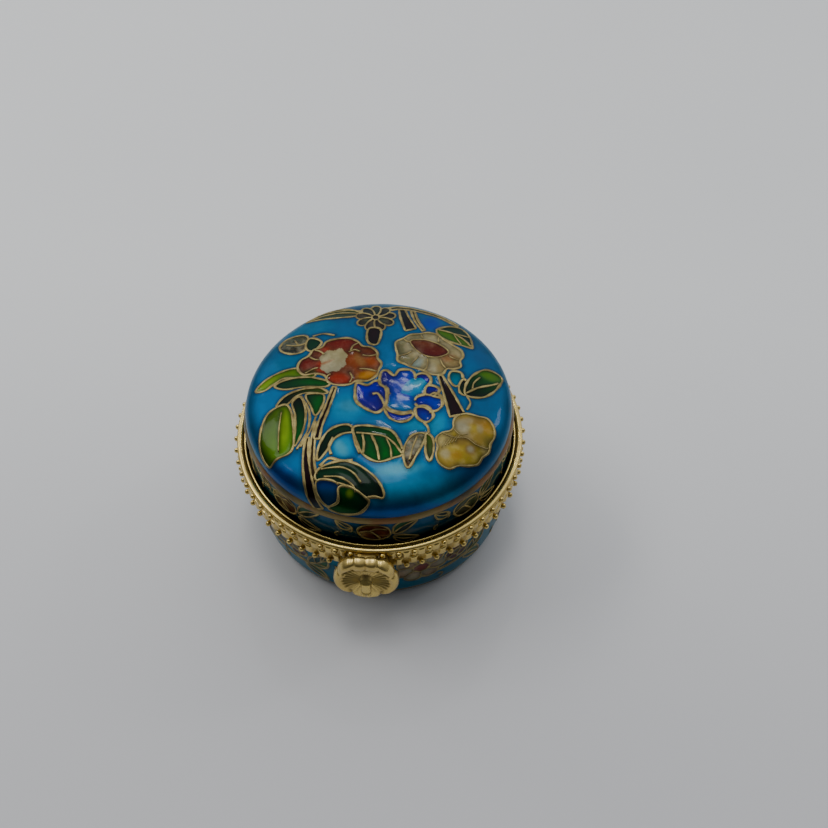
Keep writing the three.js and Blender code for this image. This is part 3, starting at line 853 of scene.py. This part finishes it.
def lidWallPicture(radius):
    # dark blossoms, leaves and little scrolls in turn round the wall, from behind the hinge and back
    p = Picture(lid["wallWireWidth"])
    low, middle, high = partHeight + 2.0, partHeight + 4.7, partHeight + 7.4
    count = lid["wallBlossoms"]
    around = 2 * math.pi * radius
    pairs = (("garnet", "brick"), ("bark", "sage"), ("navy", "cobalt"), ("rust", "garnet"))
    for number in range(count):
        x = (number - count // 2) * around / count + 0.9
        first, second = pairs[(number + 4) % len(pairs)]
        p.cell([(x - 2.4, middle + 0.4), (x - 1.6, high - 0.9), (x + 0.2, high - 0.5),
                (x + 2.2, high - 1.3), (x + 2.6, middle - 0.6), (x + 0.9, low + 1.0),
                (x - 1.4, low + 1.3)], first, second, direction=(0.3, 1), mottle=0.2)
        p.wire([(x - 2.2, middle), (x - 0.5, middle + 0.5), (x + 1.1, low + 1.3)], 0.8)
        p.wire([(x - 0.5, middle + 0.5), (x + 0.6, middle + 1.2), (x + 2.2, middle + 0.9)], 0.8)
        p.leaf((x + 3.1, middle - 0.2), (x + 7.0, high - 0.3), 2.3, "fern", "pine", bend=0.5)
        p.leaf((x + 3.1, middle - 1.0), (x + 7.2, low + 0.6), 1.9, "bottle", "pine", bend=-0.5)
        p.leaf((x - 3.2, middle + 0.6), (x - 5.8, high - 0.4), 1.7, "teal", "pine", bend=0.3)
        for side in (-1, 1):
            p.wire(spiral(x - 4.6 + side * 0.9, middle - 0.6 + side * 0.9, 0.7, side), 0.8)
    p.settle()
    return p


def spiral(x, y, reach, side):
    # a curl of one and a quarter turns whose radius grows with the angle
    t = np.linspace(0.6, 1, 9)
    angle = t * 2.6 * math.pi
    return np.stack([x + side * reach * t * np.cos(angle), y + reach * t * np.sin(angle)], -1)


def unevenness(points):
    # slow waves in the fired glass: three crossed sines of a few millimetres, upright only
    x, y, z = points[..., 0], points[..., 1], points[..., 2]
    wave = (np.sin(1.1 * x + 0.4 * y) + np.sin(1.4 * y - 0.5 * x + 1)
            + 0.4 * np.sin(2.3 * x + 1.9 * y + 2))
    return np.stack([0 * x, 0 * x, lid["unevenness"] * wave * (z > 25)], -1)


def makeLid():
    outside, shoulder = lidProfile()
    low, high = nodeBox("lid_dome")
    shoulderS = outside.distance(shoulder)
    footS = outside.s[-1]
    angle = np.linspace(-math.pi / 2, 1.5 * math.pi, lid["segments"], endpoint=False)
    domeS = np.linspace(0, shoulderS, lid["domeRows"] + 1)[1:]
    wallS = np.linspace(shoulderS, footS, lid["wallRows"] + 1)[1:]
    rowS = np.concatenate([domeS, wallS])
    s, a = np.meshgrid(rowS, angle, indexing="ij")
    domePart = s.ravel() <= shoulderS + 1e-6
    flat = np.stack([s * np.cos(a), s * np.sin(a)], -1).reshape(-1, 2)
    wallRadius = (lid["shoulderRadius"] + high[0]) / 2
    turn = (a + math.pi / 2 + math.pi) % (2 * math.pi) - math.pi
    strip = np.stack([turn * wallRadius, np.interp(s, outside.s, outside.z)], -1).reshape(-1, 2)

    dome, wall = lidPicture(), lidWallPicture(wallRadius)
    colour = np.zeros((s.size, 3))
    depth, mottle = np.zeros(s.size), np.zeros(s.size)
    for picture, spots, some in ((dome, flat, domePart), (wall, strip, ~domePart)):
        ground = np.tile(tone("ground"), (some.sum(), 1))
        if picture is wall:
            # painted shade on the wall's ground, darkest at its foot beside the ring
            rise = clip01((spots[some, 1] - low[2]) / (shoulder - low[2]))[:, None]
            ground = tone("ground", lid["footShade"]) * (1 - rise) + tone("ground") * rise
        colour[some], depth[some], mottle[some] = picture.paint(spots[some], ground)
    sag = lid["sag"] * (1 - np.exp(-depth / 0.7)).reshape(s.shape)
    points = outside.point(a, s, -sag)
    points = points + unevenness(points) * (depth.reshape(s.shape) > 0.05)[..., None]

    wallThick = lid["wall"]
    innerR, innerZ = superArc(lid["shoulderRadius"] - wallThick, high[2] - shoulder - wallThick / 2,
                              lid["power"], lid["insideRows"] - 4)
    innerR = np.concatenate([[high[0] - wallThick, high[0] - wallThick + 0.02], innerR[::-1][:-1]])
    innerZ = np.concatenate([[low[2], low[2] + 0.05], innerZ[::-1][:-1] + shoulder - wallThick / 2])
    poles = ((0, 0, float(high[2]) - lid["sag"]), (0, 0, float(high[2]) - wallThick))
    makeEnamel("lidEnamel", "lid", "lid_dome", points, angle, (innerR, innerZ), poles,
               (colour, depth, mottle))

    def onDome(x, y, lift):
        return outside.point(np.arctan2(y, x), np.hypot(x, y), lift)

    def onWall(x, y, lift):
        return outside.point(x / wallRadius - math.pi / 2, outside.distance(y), lift)

    parts = dome.ribbons(onDome, lid["wireHeight"]) + wall.ribbons(onWall, lid["wireHeight"])
    makePiece("lidWires", parts, "lid", "wire")
    band = halfRound(lid["shoulderRadius"] + 0.02, shoulder - 0.12, *lid["shoulderWire"])
    makePiece("lidShoulderWire", [ringPart(band, 480)], "lid", "band")


def halfRound(radius, height, out, half, lean):
    # a round bead section, flattened outwards, its face leaning up by so many degrees
    t = wholeTurn(20)
    x, y = out * np.cos(t) * 0.75, half * np.sin(t)
    turn = math.radians(lean)
    return np.stack([radius + x * math.cos(turn) - y * math.sin(turn) - 0.15,
                     height + x * math.sin(turn) + y * math.cos(turn)], -1)


# The bowl of the base.

bowl = {"rounding": 3.0, "wall": 1.4, "segments": 512, "bellyBelow": 7.5, "wallRows": 84,
        "floorLift": 0.12, "footIn": 0.2, "mouthIn": 0.3, "wireWidth": 0.42, "wireHeight": 0.07,
        "sag": 0.07, "sprays": 5}


def bowlProfile():
    high = nodeBox("base_bowl")[1]
    edge, belly = bowl["rounding"], float(high[0])
    foot = belly - bowl["footIn"]
    floorR = np.linspace(0, foot - edge, 60)
    floorZ = bowl["floorLift"] * (1 - clip01((floorR - foot + edge + 1) / 1) ** 2)
    t = np.linspace(0, math.pi / 2, 60)[1:]
    roundR, roundZ = foot - edge + edge * np.sin(t), edge - edge * np.cos(t)
    bellyZ = partHeight - bowl["bellyBelow"]
    wallZ = np.linspace(edge, high[2], 200)[1:]
    lower = foot + (belly - foot) * np.sin(clip01((wallZ - edge) / (bellyZ - edge)) * math.pi / 2)
    upper = belly - bowl["mouthIn"] * clip01((wallZ - bellyZ) / (high[2] - bellyZ)) ** 2
    wallR = np.where(wallZ < bellyZ, lower, upper)
    return Turned((np.concatenate([floorR, roundR, wallR]), np.concatenate([floorZ, roundZ, wallZ])), -1)


def bowlPicture(radius):
    # sprays round the bowl: a large blossom, a small one, leaves and scrolls
    p = Picture(bowl["wireWidth"])
    around = 2 * math.pi * radius
    sprays = bowl["sprays"]
    kinds = (("blush", "ivory", "coral"), ("cream", "ivory", "rust"), ("royal", "cobalt", "cream"),
             ("amber", "orange", "brick"), ("rust", "plum", "cream"))
    for number in range(sprays):
        x = (number - 2) * around / sprays + 8.6
        first, second, heart = kinds[(number + 3) % sprays]
        lean = 1 if number % 2 else -1
        p.stem([(x - 12, 8.6 - lean), (x - 8, 7.0), (x - 3, 8.4 + lean), (x + 3, 6.2), (x + 9, 6.6)],
               0.7, 0.5, "plum")
        p.leaf((x - 5.6, 8.0), (x - 9.8, 12.0), 3.4, "fern", "leaf", bend=0.8, veins=2)
        p.leaf((x - 6, 6.8), (x - 9.4, 3.0), 2.8, "bottle", "fern", bend=-0.6, veins=1)
        p.leaf((x + 9.0, 6.6), (x + 12.6, 11.6), 3.2, "bottle", "leaf", bend=-0.7, veins=2)
        p.leaf((x + 8.2, 6), (x + 12.4, 3), 2.6, "leaf", "teal", bend=0.5)
        p.blossom((x, 9.2), 4.7, 7, [(second, first), (first, second)], turn=12 + 40 * number,
                  heart=0.34, squash=0.9, mottle=0.4, heartColour=heart)
        p.blossom((x + 6.6, 9.6), 2.3, 5, [("coral", "brick"), ("coral", "garnet")], turn=50 * number,
                  heart=0.34, mottle=0.2, heartColour="sand")
        for dx, dy, side in ((-11.6, 7.4, 1), (-12.6, 11.2, -1), (-4.6, 4.0, -1), (3.4, 3.8, 1),
                             (14.4, 8.4, 1), (-11.8, 3.6, -1)):
            p.wire(spiral(x + dx, dy, 0.85, side), 0.85)
    p.settle()
    return p


def makeBowl():
    outside = bowlProfile()
    high = nodeBox("base_bowl")[1]
    wallStart = outside.distance(0.6)
    angle = np.linspace(-math.pi / 2, 1.5 * math.pi, bowl["segments"], endpoint=False)
    floorS = np.concatenate([np.linspace(0, wallStart - 2, 15)[1:],
                             wallStart - np.linspace(1.6, 0.4, 4)])
    rowS = np.concatenate([floorS, np.linspace(wallStart, outside.s[-1], bowl["wallRows"])])
    s, a = np.meshgrid(rowS, angle, indexing="ij")
    radius = float(high[0])
    turn = (a + 1.5 * math.pi) % (2 * math.pi) - math.pi
    strip = np.stack([turn * radius, np.interp(s, outside.s, outside.z)], -1).reshape(-1, 2)
    onWallPart = (s >= wallStart - 1e-6).ravel()
    picture = bowlPicture(radius)
    colour = np.tile(tone("lagoon", 1.35), (s.size, 1))
    depth, mottle = np.full(s.size, 1.5), np.zeros(s.size)
    colour[onWallPart], depth[onWallPart], mottle[onWallPart] = picture.paint(
        strip[onWallPart], colour[onWallPart])
    sag = bowl["sag"] * (1 - np.exp(-depth / 0.7)) * onWallPart
    points = outside.point(a, s, -sag.reshape(s.shape))

    wallThick, edge = bowl["wall"], bowl["rounding"] - bowl["wall"] / 2
    t = np.linspace(math.pi / 2, 0, 9)
    innerR = np.concatenate([[high[0] - bowl["mouthIn"] - wallThick],
                             np.linspace(high[0] - wallThick, high[0] - wallThick - 0.2, 4),
                             high[0] - 0.2 - wallThick - edge + edge * np.sin(t)[1:],
                             np.linspace(17, 1, 6)])
    innerZ = np.concatenate([[high[2]], np.linspace(high[2] - 5, wallThick + edge, 4),
                             wallThick + edge - edge * np.cos(t)[1:], np.full(6, wallThick)])
    poles = ((0, 0, bowl["floorLift"]), (0, 0, wallThick))
    makeEnamel("bowlEnamel", "base", "base_bowl", points, angle, (innerR, innerZ), poles,
               (colour, depth, mottle))

    def onWall(x, y, lift):
        return outside.point(x / radius - math.pi / 2, outside.distance(y), lift)

    makePiece("bowlWires", picture.ribbons(onWall, bowl["wireHeight"]), "base", "wire")
    foot = radius - bowl["footIn"]
    under = [(foot - 2.9, 0), (foot - 3.5, 0), (foot - 3.7, 0.3), (foot - 2.7, 0.3)]
    rings = [ringPart(halfRound(foot - 0.55, 1.35, 0.36, 0.36, -35), 480), ringPart(under, 360)]
    makePiece("bowlFootWires", rings, "base", "wire")


# The mouth rings with their beads.

rim = {"beads": 62, "beadCircle": 24.5, "beadRadius": 0.48, "beadAbove": 1.7, "beadBelow": 1.95,
       "band": 24.15, "inner": 23.0, "lip": 2.6, "perBead": 12, "barOut": 0.32, "bossOut": 0.15,
       "partGap": 0.1, "tongue": 1.2, "frontClear": 2.1, "backClear": 5.5, "lidShare": 0.0,
       "baseShare": 0.5, "seat": 21.1, "crown": (23.84, 0.52, 0.34), "ridge": (22.99, 0.24)}


def bandBulge(angle, height, share, row):
    # blocks between the beads of a row and a shallow boss behind each bead; the beat is 1 at a bead
    beat = np.cos(angle * rim["beads"] - 2 * math.pi * share)
    block = clip01((0.2 - beat) / 0.5)
    block = block * block * (3 - 2 * block)
    level = np.sqrt(clip01((height - 0.1) / 0.3) * clip01((row + 0.15 - height) / 0.35))
    boss = clip01(beat) * np.exp(-((height - row) / 0.5) ** 2)
    return rim["barOut"] * block * level + rim["bossOut"] * boss


def rimPart(section, recessShade, flip, share, row):
    # a ring section (radius, height above the parting plane, 1 where the band bulges) turned round
    segments = rim["beads"] * rim["perBead"]
    angle = wholeTurn(segments) - math.pi / 2
    r, h, band = (np.array(column, float) for column in zip(*section))
    bulge = bandBulge((angle + math.pi / 2)[:, None], h[None], share, row) * band
    radius = r[None] + bulge
    z = partHeight + flip * h
    points = np.stack([radius * np.cos(angle)[:, None], radius * np.sin(angle)[:, None],
                       np.tile(z, (segments, 1))], -1)
    shade = np.tile(np.array(recessShade, float), (segments, 1))
    # painted shade between the blocks, fading where they stand out
    shade = np.where(band > 0, clip01(0.42 - 0.9 * bulge / rim["barOut"]), shade)
    return gridPart(points, wrapRows=True, wrapCols=True), shade.ravel()


def beadParts(height, share, frontClear, backClear):
    # small balls at equal angles, left out where the clasp's lug and the hinge sit
    tilt, turn = np.meshgrid(np.linspace(0, math.pi, 9)[1:-1], wholeTurn(10), indexing="ij")
    ball = rim["beadRadius"] * np.stack([np.sin(tilt) * np.cos(turn), np.sin(tilt) * np.sin(turn),
                                         np.cos(tilt)], -1)
    parts = []
    for number in range(rim["beads"]):
        angle = -math.pi / 2 + (number + share) * 2 * math.pi / rim["beads"]
        x, y = rim["beadCircle"] * math.cos(angle), rim["beadCircle"] * math.sin(angle)
        if abs(x) < (frontClear if y < 0 else backClear) and abs(y) > rim["beadCircle"] / 2:
            continue
        centre = np.array([x, y, height])
        tips = (centre + (0, 0, rim["beadRadius"]), centre - (0, 0, rim["beadRadius"]))
        parts.append(gridPart(ball + centre, wrapCols=True, poles=tips))
    return parts


def roundCorner(centre, radius, start, end, count, band=0):
    # points of an arc in the section, from one angle in degrees to another
    t = np.radians(np.linspace(start, end, count))
    return [(centre[0] + radius * math.cos(v), centre[1] + radius * math.sin(v), band) for v in t]


def makeRim(name, body, node, section, recessShade, flip, share, row, frontClear):
    part, shade = rimPart(section, recessShade, flip, share, row)
    beads = beadParts(partHeight + flip * row, share, frontClear, rim["backClear"])
    makeGilt(name, [part] + beads, body, node, [shade] + [0] * len(beads))


def makeRims():
    # sections of (radius, height from the parting plane, 1 where the blocks stand out)
    gap, band, lip, seat = rim["partGap"], rim["band"], rim["lip"], rim["seat"]
    foot = [(rim["inner"], gap, 0), (band - 0.15, gap, 0)]
    # the lid's ring: banded face, rolled lip, dark groove, thin ridge and the seat for the dome
    face = [(band, h, 1) for h in np.linspace(gap + 0.05, lip - 0.68, 18)]
    middle, out, rise = rim["crown"]
    crown = [(middle + out * math.cos(v), lip - rise + rise * math.sin(v), 0)
             for v in np.radians(np.linspace(-35, 195, 18))]
    groove = [(23.34, lip - 0.78, 0), (23.29, lip - 0.86, 0), (23.25, lip - 0.7, 0)]
    ridge = roundCorner((rim["ridge"][0], lip - 0.45), rim["ridge"][1], 0, 180, 9)
    section = [*foot, *face, *crown, *groove, *ridge, (22.74, lip - 1.2, 0), (22.7, 0.9, 0),
               (seat, 0.9, 0), (seat, gap, 0)]
    # painted shade: darkest in the groove, dark in the channel inside the ridge and light on the foot
    # and the seat
    recessShade = [0.9 if 23.24 < r < 23.4 and h > 1 else 0.7 if r < 22.76 and h > 1
              else 0.25 if h < 0.95 else 0.0 for r, h, b in section]
    makeRim("lidRim", "lid", "lid_rim", section, recessShade, 1, rim["lidShare"], rim["beadAbove"],
            rim["frontClear"])

    # the base's ring: banded face, rounded foot, seat for the bowl and the collar that centres the lid
    lower = [(band, h, 1) for h in np.linspace(gap + 0.05, lip - 0.38, 20)]
    wallTop = [(22.85, lip - 1.0, 0), (22.82, 1.2, 0), (21.05, 1.2, 0), (21.0, lip, 0), (20.05, lip, 0)]
    tongue = roundCorner((20.35, -rim["tongue"] + 0.35), 0.35, 180, 360, 9)
    section = [*foot, *lower, *roundCorner((23.86, lip - 0.26), 0.26, -10, 120, 8),
               (23.1, lip - 0.12, 0), *wallTop, (20.0, lip - 0.1, 0), (20.0, 0, 0), *tongue,
               (20.7, 0.1, 0), (20.72, gap, 0)]
    # a light even painted shade on the base's ring away from the parting face
    recessShade = [0.15 if h > 0.3 else 0.0 for r, h, b in section]
    makeRim("baseRim", "base", "base_rim", section, recessShade, -1, rim["baseShare"], rim["beadBelow"], 0)


# The flower clasp at the front.

flower = {"rows": 76, "cols": 360, "dip": 0.13, "body": 1.0, "lobes": 0.7, "lobeAt": (0.19, 0.57),
          "side": 0.42, "vein": 0.16, "veins": 30, "throat": 0.6, "keel": 0.5, "bead": 0.42,
          "groove": 0.34, "crease": 0.22, "lean": 1.15, "lug": 1.5, "stand": 0.45, "sill": 0.45}


def dome(value):
    # a round hump: the square root of 1 minus the square, 0 outside
    return np.sqrt(clip01(1 - value ** 2))


def bell(value):
    return np.exp(-value ** 2)


def flowerRelief(rho, phi):
    # height of the face: four rolled lobes in a row along the top, rolled side petals with fine veins
    # that fan out from a small throat, and a keel under it that ends in two beads
    f = flower
    x, z = rho * np.cos(phi), rho * np.sin(phi)
    wide = np.abs(x)
    along = 0.79 - 0.42 * x * x
    lobes = np.max([dome((wide - centre) / 0.2) for centre in f["lobeAt"]], 0)
    row = dome((z - along) / 0.21) * (0.3 + 0.7 * lobes) * clip01((0.86 - wide) / 0.1)
    rising = np.sin(phi)
    side = clip01((0.62 - rising) / 0.3) * (0.35 + 0.65 * clip01((rising + 0.92) / 0.3))
    roll = bell((rho - 0.86) / 0.13) * side
    under = along - z - 0.21
    window = clip01((rho - 0.16) / 0.1) * clip01((0.78 - rho) / 0.1) * clip01(under / 0.08)
    veins = np.cos(f["veins"] * phi) * window * clip01(1.15 - 0.9 * np.abs(rising))
    groove = bell((under - 0.03) / 0.05) * clip01((0.8 - wide) / 0.1)
    crease = bell((wide - 0.42 - 0.25 * (z + 1)) / 0.05) * clip01((-z - 0.45) / 0.15)
    throat = np.exp(-((x / 0.19) ** 2 + ((z - 0.06) / 0.15) ** 2))
    keel = clip01(1 - (wide / (0.20 + 0.08 * z)) ** 4) ** 0.5
    keel = keel * clip01((-z - 0.08) / 0.1) * clip01((z + 0.86) / 0.25)
    beads = sum(np.exp(-(((x - middle) / 0.07) ** 2 + ((z + 0.7) / 0.075) ** 2))
                for middle in (-0.095, 0.095))
    height = f["body"] + f["lobes"] * row + f["side"] * roll + f["vein"] * veins
    height = height - f["groove"] * groove - f["crease"] * crease - f["throat"] * throat
    height = height + f["keel"] * keel + f["bead"] * beads
    # painted shade: the hollows are dark, and so are thin lines at the edges of the keel and round its
    # two beads
    hollow = clip01(1.1 * throat + 0.6 * clip01(-veins) + 1.1 * groove + 0.7 * crease + 0.08 * window)
    edge = clip01(1 - np.abs(wide - 0.17) / 0.035) * (keel > 0.05)
    ringed = bell((np.hypot(wide - 0.095, z + 0.7) - 0.115) / 0.03)
    hollow = np.maximum(hollow * (1 - keel), 0.85 * np.maximum(edge, ringed * (keel > 0.2)))
    return height, hollow


def makeFlower():
    low, high = nodeBox("clasp_flower")
    width, tall = high[0] - low[0], high[2] - low[2]
    middle = (high[2] + low[2]) / 2
    back = -(rim["beadCircle"] + rim["beadRadius"] + flower["stand"])
    rho = np.concatenate([np.linspace(0, 0.9, flower["rows"] - 12)[1:],
                          0.9 + 0.1 * np.sin(np.linspace(0, math.pi / 2, 14))[1:]])
    phi = wholeTurn(flower["cols"])
    r, p = np.meshgrid(rho, phi, indexing="ij")
    lobe = np.abs(np.cos(2.5 * (p - 0.3 * math.pi))) ** 0.7
    notch = sum(np.exp(-((p - v) / 0.07) ** 2) for v in (0.37 * math.pi, 0.63 * math.pi))
    reach = 1 - flower["dip"] * (1 - lobe) - 0.045 * notch
    face, hollow = flowerRelief(r, p)
    fall = np.sqrt(clip01(1 - ((r - 0.9) / 0.1) ** 2)) * (r > 0.9) + (r <= 0.9)
    tilt = flower["lean"] * (1 - r * np.sin(p)) / 2
    face = flower["sill"] + (face - flower["sill"]) * fall + tilt
    x, z = width / 2 * reach * r * np.cos(p), middle + tall / 2 * reach * r * np.sin(p)
    front = np.stack([x, back - face, z], -1)
    rimX, rimZ = x[-1], z[-1]
    backRows = [np.stack([rimX * k, np.full_like(rimX, y), middle + (rimZ - middle) * k], -1)
                for k, y in ((1.0, back - 0.2), (0.97, back), (0.5, back))]
    points = np.concatenate([front, np.stack(backRows)])
    tip = (0, back - float(flowerRelief(np.array(0.0), np.array(0.0))[0]) - flower["lean"] / 2, middle)
    part = gridPart(points, wrapCols=True, poles=(tip, (0, back, middle)))
    lugBack = -(rim["band"] - 0.1)
    lug = boxPart((-flower["lug"], back - 0.3, partHeight + 0.25),
                  (flower["lug"], lugBack, partHeight + rim["lip"] - 0.6), 0.15)
    # painted shade in the face's hollows, and an even painted shade on the back and on the lug
    shade = np.concatenate([hollow.ravel(), np.full(len(part[0]) - hollow.size, 0.3)])
    makeGilt("claspFlower", [part, lug], "lid", "clasp_flower", [shade, 0.4])


def boxPart(low, high, edge):
    # a block whose edges are cut back: eight-sided loops at four heights
    low, high = np.minimum(low, high), np.maximum(low, high)
    loops = []
    for z, inset in ((low[2], edge), (low[2] + edge, 0), (high[2] - edge, 0), (high[2], edge)):
        a, b = low[:2] + inset, high[:2] - inset
        loops.append([(a[0] + edge, a[1], z), (b[0] - edge, a[1], z), (b[0], a[1] + edge, z),
                      (b[0], b[1] - edge, z), (b[0] - edge, b[1], z), (a[0] + edge, b[1], z),
                      (a[0], b[1] - edge, z), (a[0], a[1] + edge, z)])
    middle = (low + high) / 2
    return gridPart(np.array(loops), wrapCols=True,
                    poles=((middle[0], middle[1], low[2]), (middle[0], middle[1], high[2])))


# The hinge behind.

hingeSize = {"knuckle": 1.3, "bore": 0.62, "pin": 0.55, "edge": 0.18, "play": 0.15, "cap": 0.35,
             "leafBack": 0.75, "leafGap": 0.12, "shade": 0.18, "pinShade": 0.1}


def knucklePart(start, end):
    # a tube along X round the pin, with rounded rims
    edge, inner, outer = hingeSize["edge"], hingeSize["bore"], hingeSize["knuckle"]
    x = np.array([start, start, start + edge, end - edge, end, end, end - edge, start + edge])
    r = np.array([inner, outer - edge, outer, outer, outer - edge, inner, inner, inner])
    angle = wholeTurn(40)
    points = np.stack([np.tile(x, (40, 1)), pin[1] + np.outer(np.cos(angle), r),
                       pin[2] + np.outer(np.sin(angle), r)], -1)
    return gridPart(points, wrapRows=True, wrapCols=True)


def makeHinge():
    inside, leafEnd, leafGap = rim["band"] - 0.1, pin[1] - hingeSize["leafBack"], hingeSize["leafGap"]
    low, high = nodeBox("hinge_base")
    middleLow, middleHigh = nodeBox("hinge_lid")
    parts = []
    for side in (-1, 1):
        start, end = sorted((side * (middleHigh[0] + hingeSize["play"]), side * high[0]))
        parts.append(knucklePart(start, end))
        parts.append(boxPart((start, inside, low[2]), (end, leafEnd, pin[2] - leafGap), 0.12))
    leafTop = pin[2] - hingeSize["knuckle"] - 0.25
    parts.append(boxPart((low[0], inside, low[2]), (high[0], pin[1] + 0.5, leafTop), 0.2))
    makeGilt("hingeBase", parts, "base", "hinge_base", [hingeSize["shade"]] * len(parts))
    parts = [knucklePart(middleLow[0], middleHigh[0]),
             boxPart((middleLow[0], inside, pin[2] + leafGap),
                     (middleHigh[0], leafEnd, middleHigh[2]), 0.12)]
    makeGilt("hingeLid", parts, "lid", "hinge_lid", [hingeSize["shade"]] * len(parts))
    pinLow, pinHigh = nodeBox("hinge_pin")
    t = np.linspace(0, math.pi / 2, 6)[:-1]
    capX, capR = hingeSize["cap"] * np.sin(t), hingeSize["pin"] * np.cos(t)
    x = np.concatenate([-capX[::-1] + pinLow[0] + 0.2, capX + pinHigh[0] - 0.2])
    r = np.concatenate([capR[::-1], capR])
    angle = wholeTurn(32)
    points = np.stack([np.tile(x[:, None], (1, 32)), pin[1] + np.outer(r, np.cos(angle)),
                       pin[2] + np.outer(r, np.sin(angle))], -1)
    tips = ((x[0] - 0.02, pin[1], pin[2]), (x[-1] + 0.02, pin[1], pin[2]))
    part = gridPart(points, wrapCols=True, poles=tips)
    makeGilt("hingePin", [part], "base", "hinge_pin", [hingeSize["pinShade"]])


makeLid()
makeBowl()
makeRims()
makeFlower()
makeHinge()


# Floor, light and camera.

def makeFloor():
    half = floorLook["half"]
    mesh = bpy.data.meshes.new("tableTop")
    corners = [(-half, -half, 0), (half, -half, 0), (half, half, 0), (-half, half, 0)]
    mesh.from_pydata(corners, [], [(0, 1, 2, 3)])
    mesh.materials.append(floorMaterial())
    table = bpy.data.objects.new("tableTop", mesh)
    bpy.context.scene.collection.objects.link(table)


neutral, warm = (1.0, 0.99, 0.97), (1.0, 0.98, 0.93)
# where each light stands, its width and height in metres, its watts and its colour
lamps = {"lamp": ((-0.03, 0.56, 0.72), (0.045, 0.045), 0.24, neutral),
         "overhead": ((-0.05, 0.15, 0.9), (0.22, 0.26), 1.15, neutral),
         "leftBack": ((-0.50, 0.45, 0.36), (0.08, 0.09), 0.18, warm),
         "leftStrip": ((-0.50, 0.14, 0.55), (0.42, 0.14), 1.2, warm),
         "rightBack": ((0.50, 0.34, 0.42), (0.09, 0.09), 0.24, warm)}
lampAim = (0, 0, 0.02)


def makeLight(name, place, size, power, colour):
    data = bpy.data.lights.new(name, "AREA")
    data.shape, data.size, data.size_y = "RECTANGLE", size[0], size[1]
    data.energy, data.color = power, colour
    lamp = bpy.data.objects.new(name, data)
    bpy.context.scene.collection.objects.link(lamp)
    aim = Vector(lampAim) - Vector(place)
    lamp.location = place
    lamp.rotation_euler = aim.to_track_quat("-Z", "Y").to_euler()


view = {"place": (10.5, -85.3, 132.8), "aim": (4.8, 17.8, 0.0), "roll": 0.5, "lens": 36.1, "sensor": 36}


def makeCamera():
    data = bpy.data.cameras.new("camera")
    data.lens, data.sensor_width = view["lens"], view["sensor"]
    data.clip_start = 0.005
    camera = bpy.data.objects.new("camera", data)
    bpy.context.scene.collection.objects.link(camera)
    place, aim = Vector(view["place"]) * mm, Vector(view["aim"]) * mm
    turn = (aim - place).to_track_quat("-Z", "Y").to_matrix().to_4x4()
    roll = Matrix.Rotation(math.radians(view["roll"]), 4, "Z")
    camera.matrix_world = Matrix.Translation(place) @ turn @ roll
    bpy.context.scene.camera = camera


sky = {"dim": 0.09, "colour": (0.95, 0.975, 1.0, 1),
       "glows": (((-0.05, 0.66, 0.75), 0.30, 0.97), ((-0.74, 0.45, 0.50), 0.60, 0.14),
                 ((0.76, 0.42, 0.50), 0.60, 0.30))}


def makeWorld():
    # a dim pale room with broad glows: a high one behind the box and a lower one at either side. Each is
    # its direction, the cosine at its edge and its strength
    world = bpy.data.worlds.new("studio")
    world.use_nodes = True
    s = Sock(world.node_tree, None)
    facing = s.node("ShaderNodeSeparateXYZ", Vector=s.out(s.node("ShaderNodeTexCoord"), "Generated"))
    x, y, z = (s.out(facing, k) for k in range(3))
    light = sky["dim"] + 0 * x
    for towards, edge, strength in sky["glows"]:
        size = math.hypot(*towards)
        cosine = (x * towards[0] + y * towards[1] + z * towards[2]) / size
        light = light + strength * cosine.span(edge, 1.0)
    backdrop = world.node_tree.nodes["Background"]
    backdrop.inputs["Color"].default_value = sky["colour"]
    world.node_tree.links.new(light.link, backdrop.inputs["Strength"])
    bpy.context.scene.world = world


makeFloor()
for lampName, settings in lamps.items():
    makeLight(lampName, *settings)
makeCamera()
makeWorld()
print("stage set")
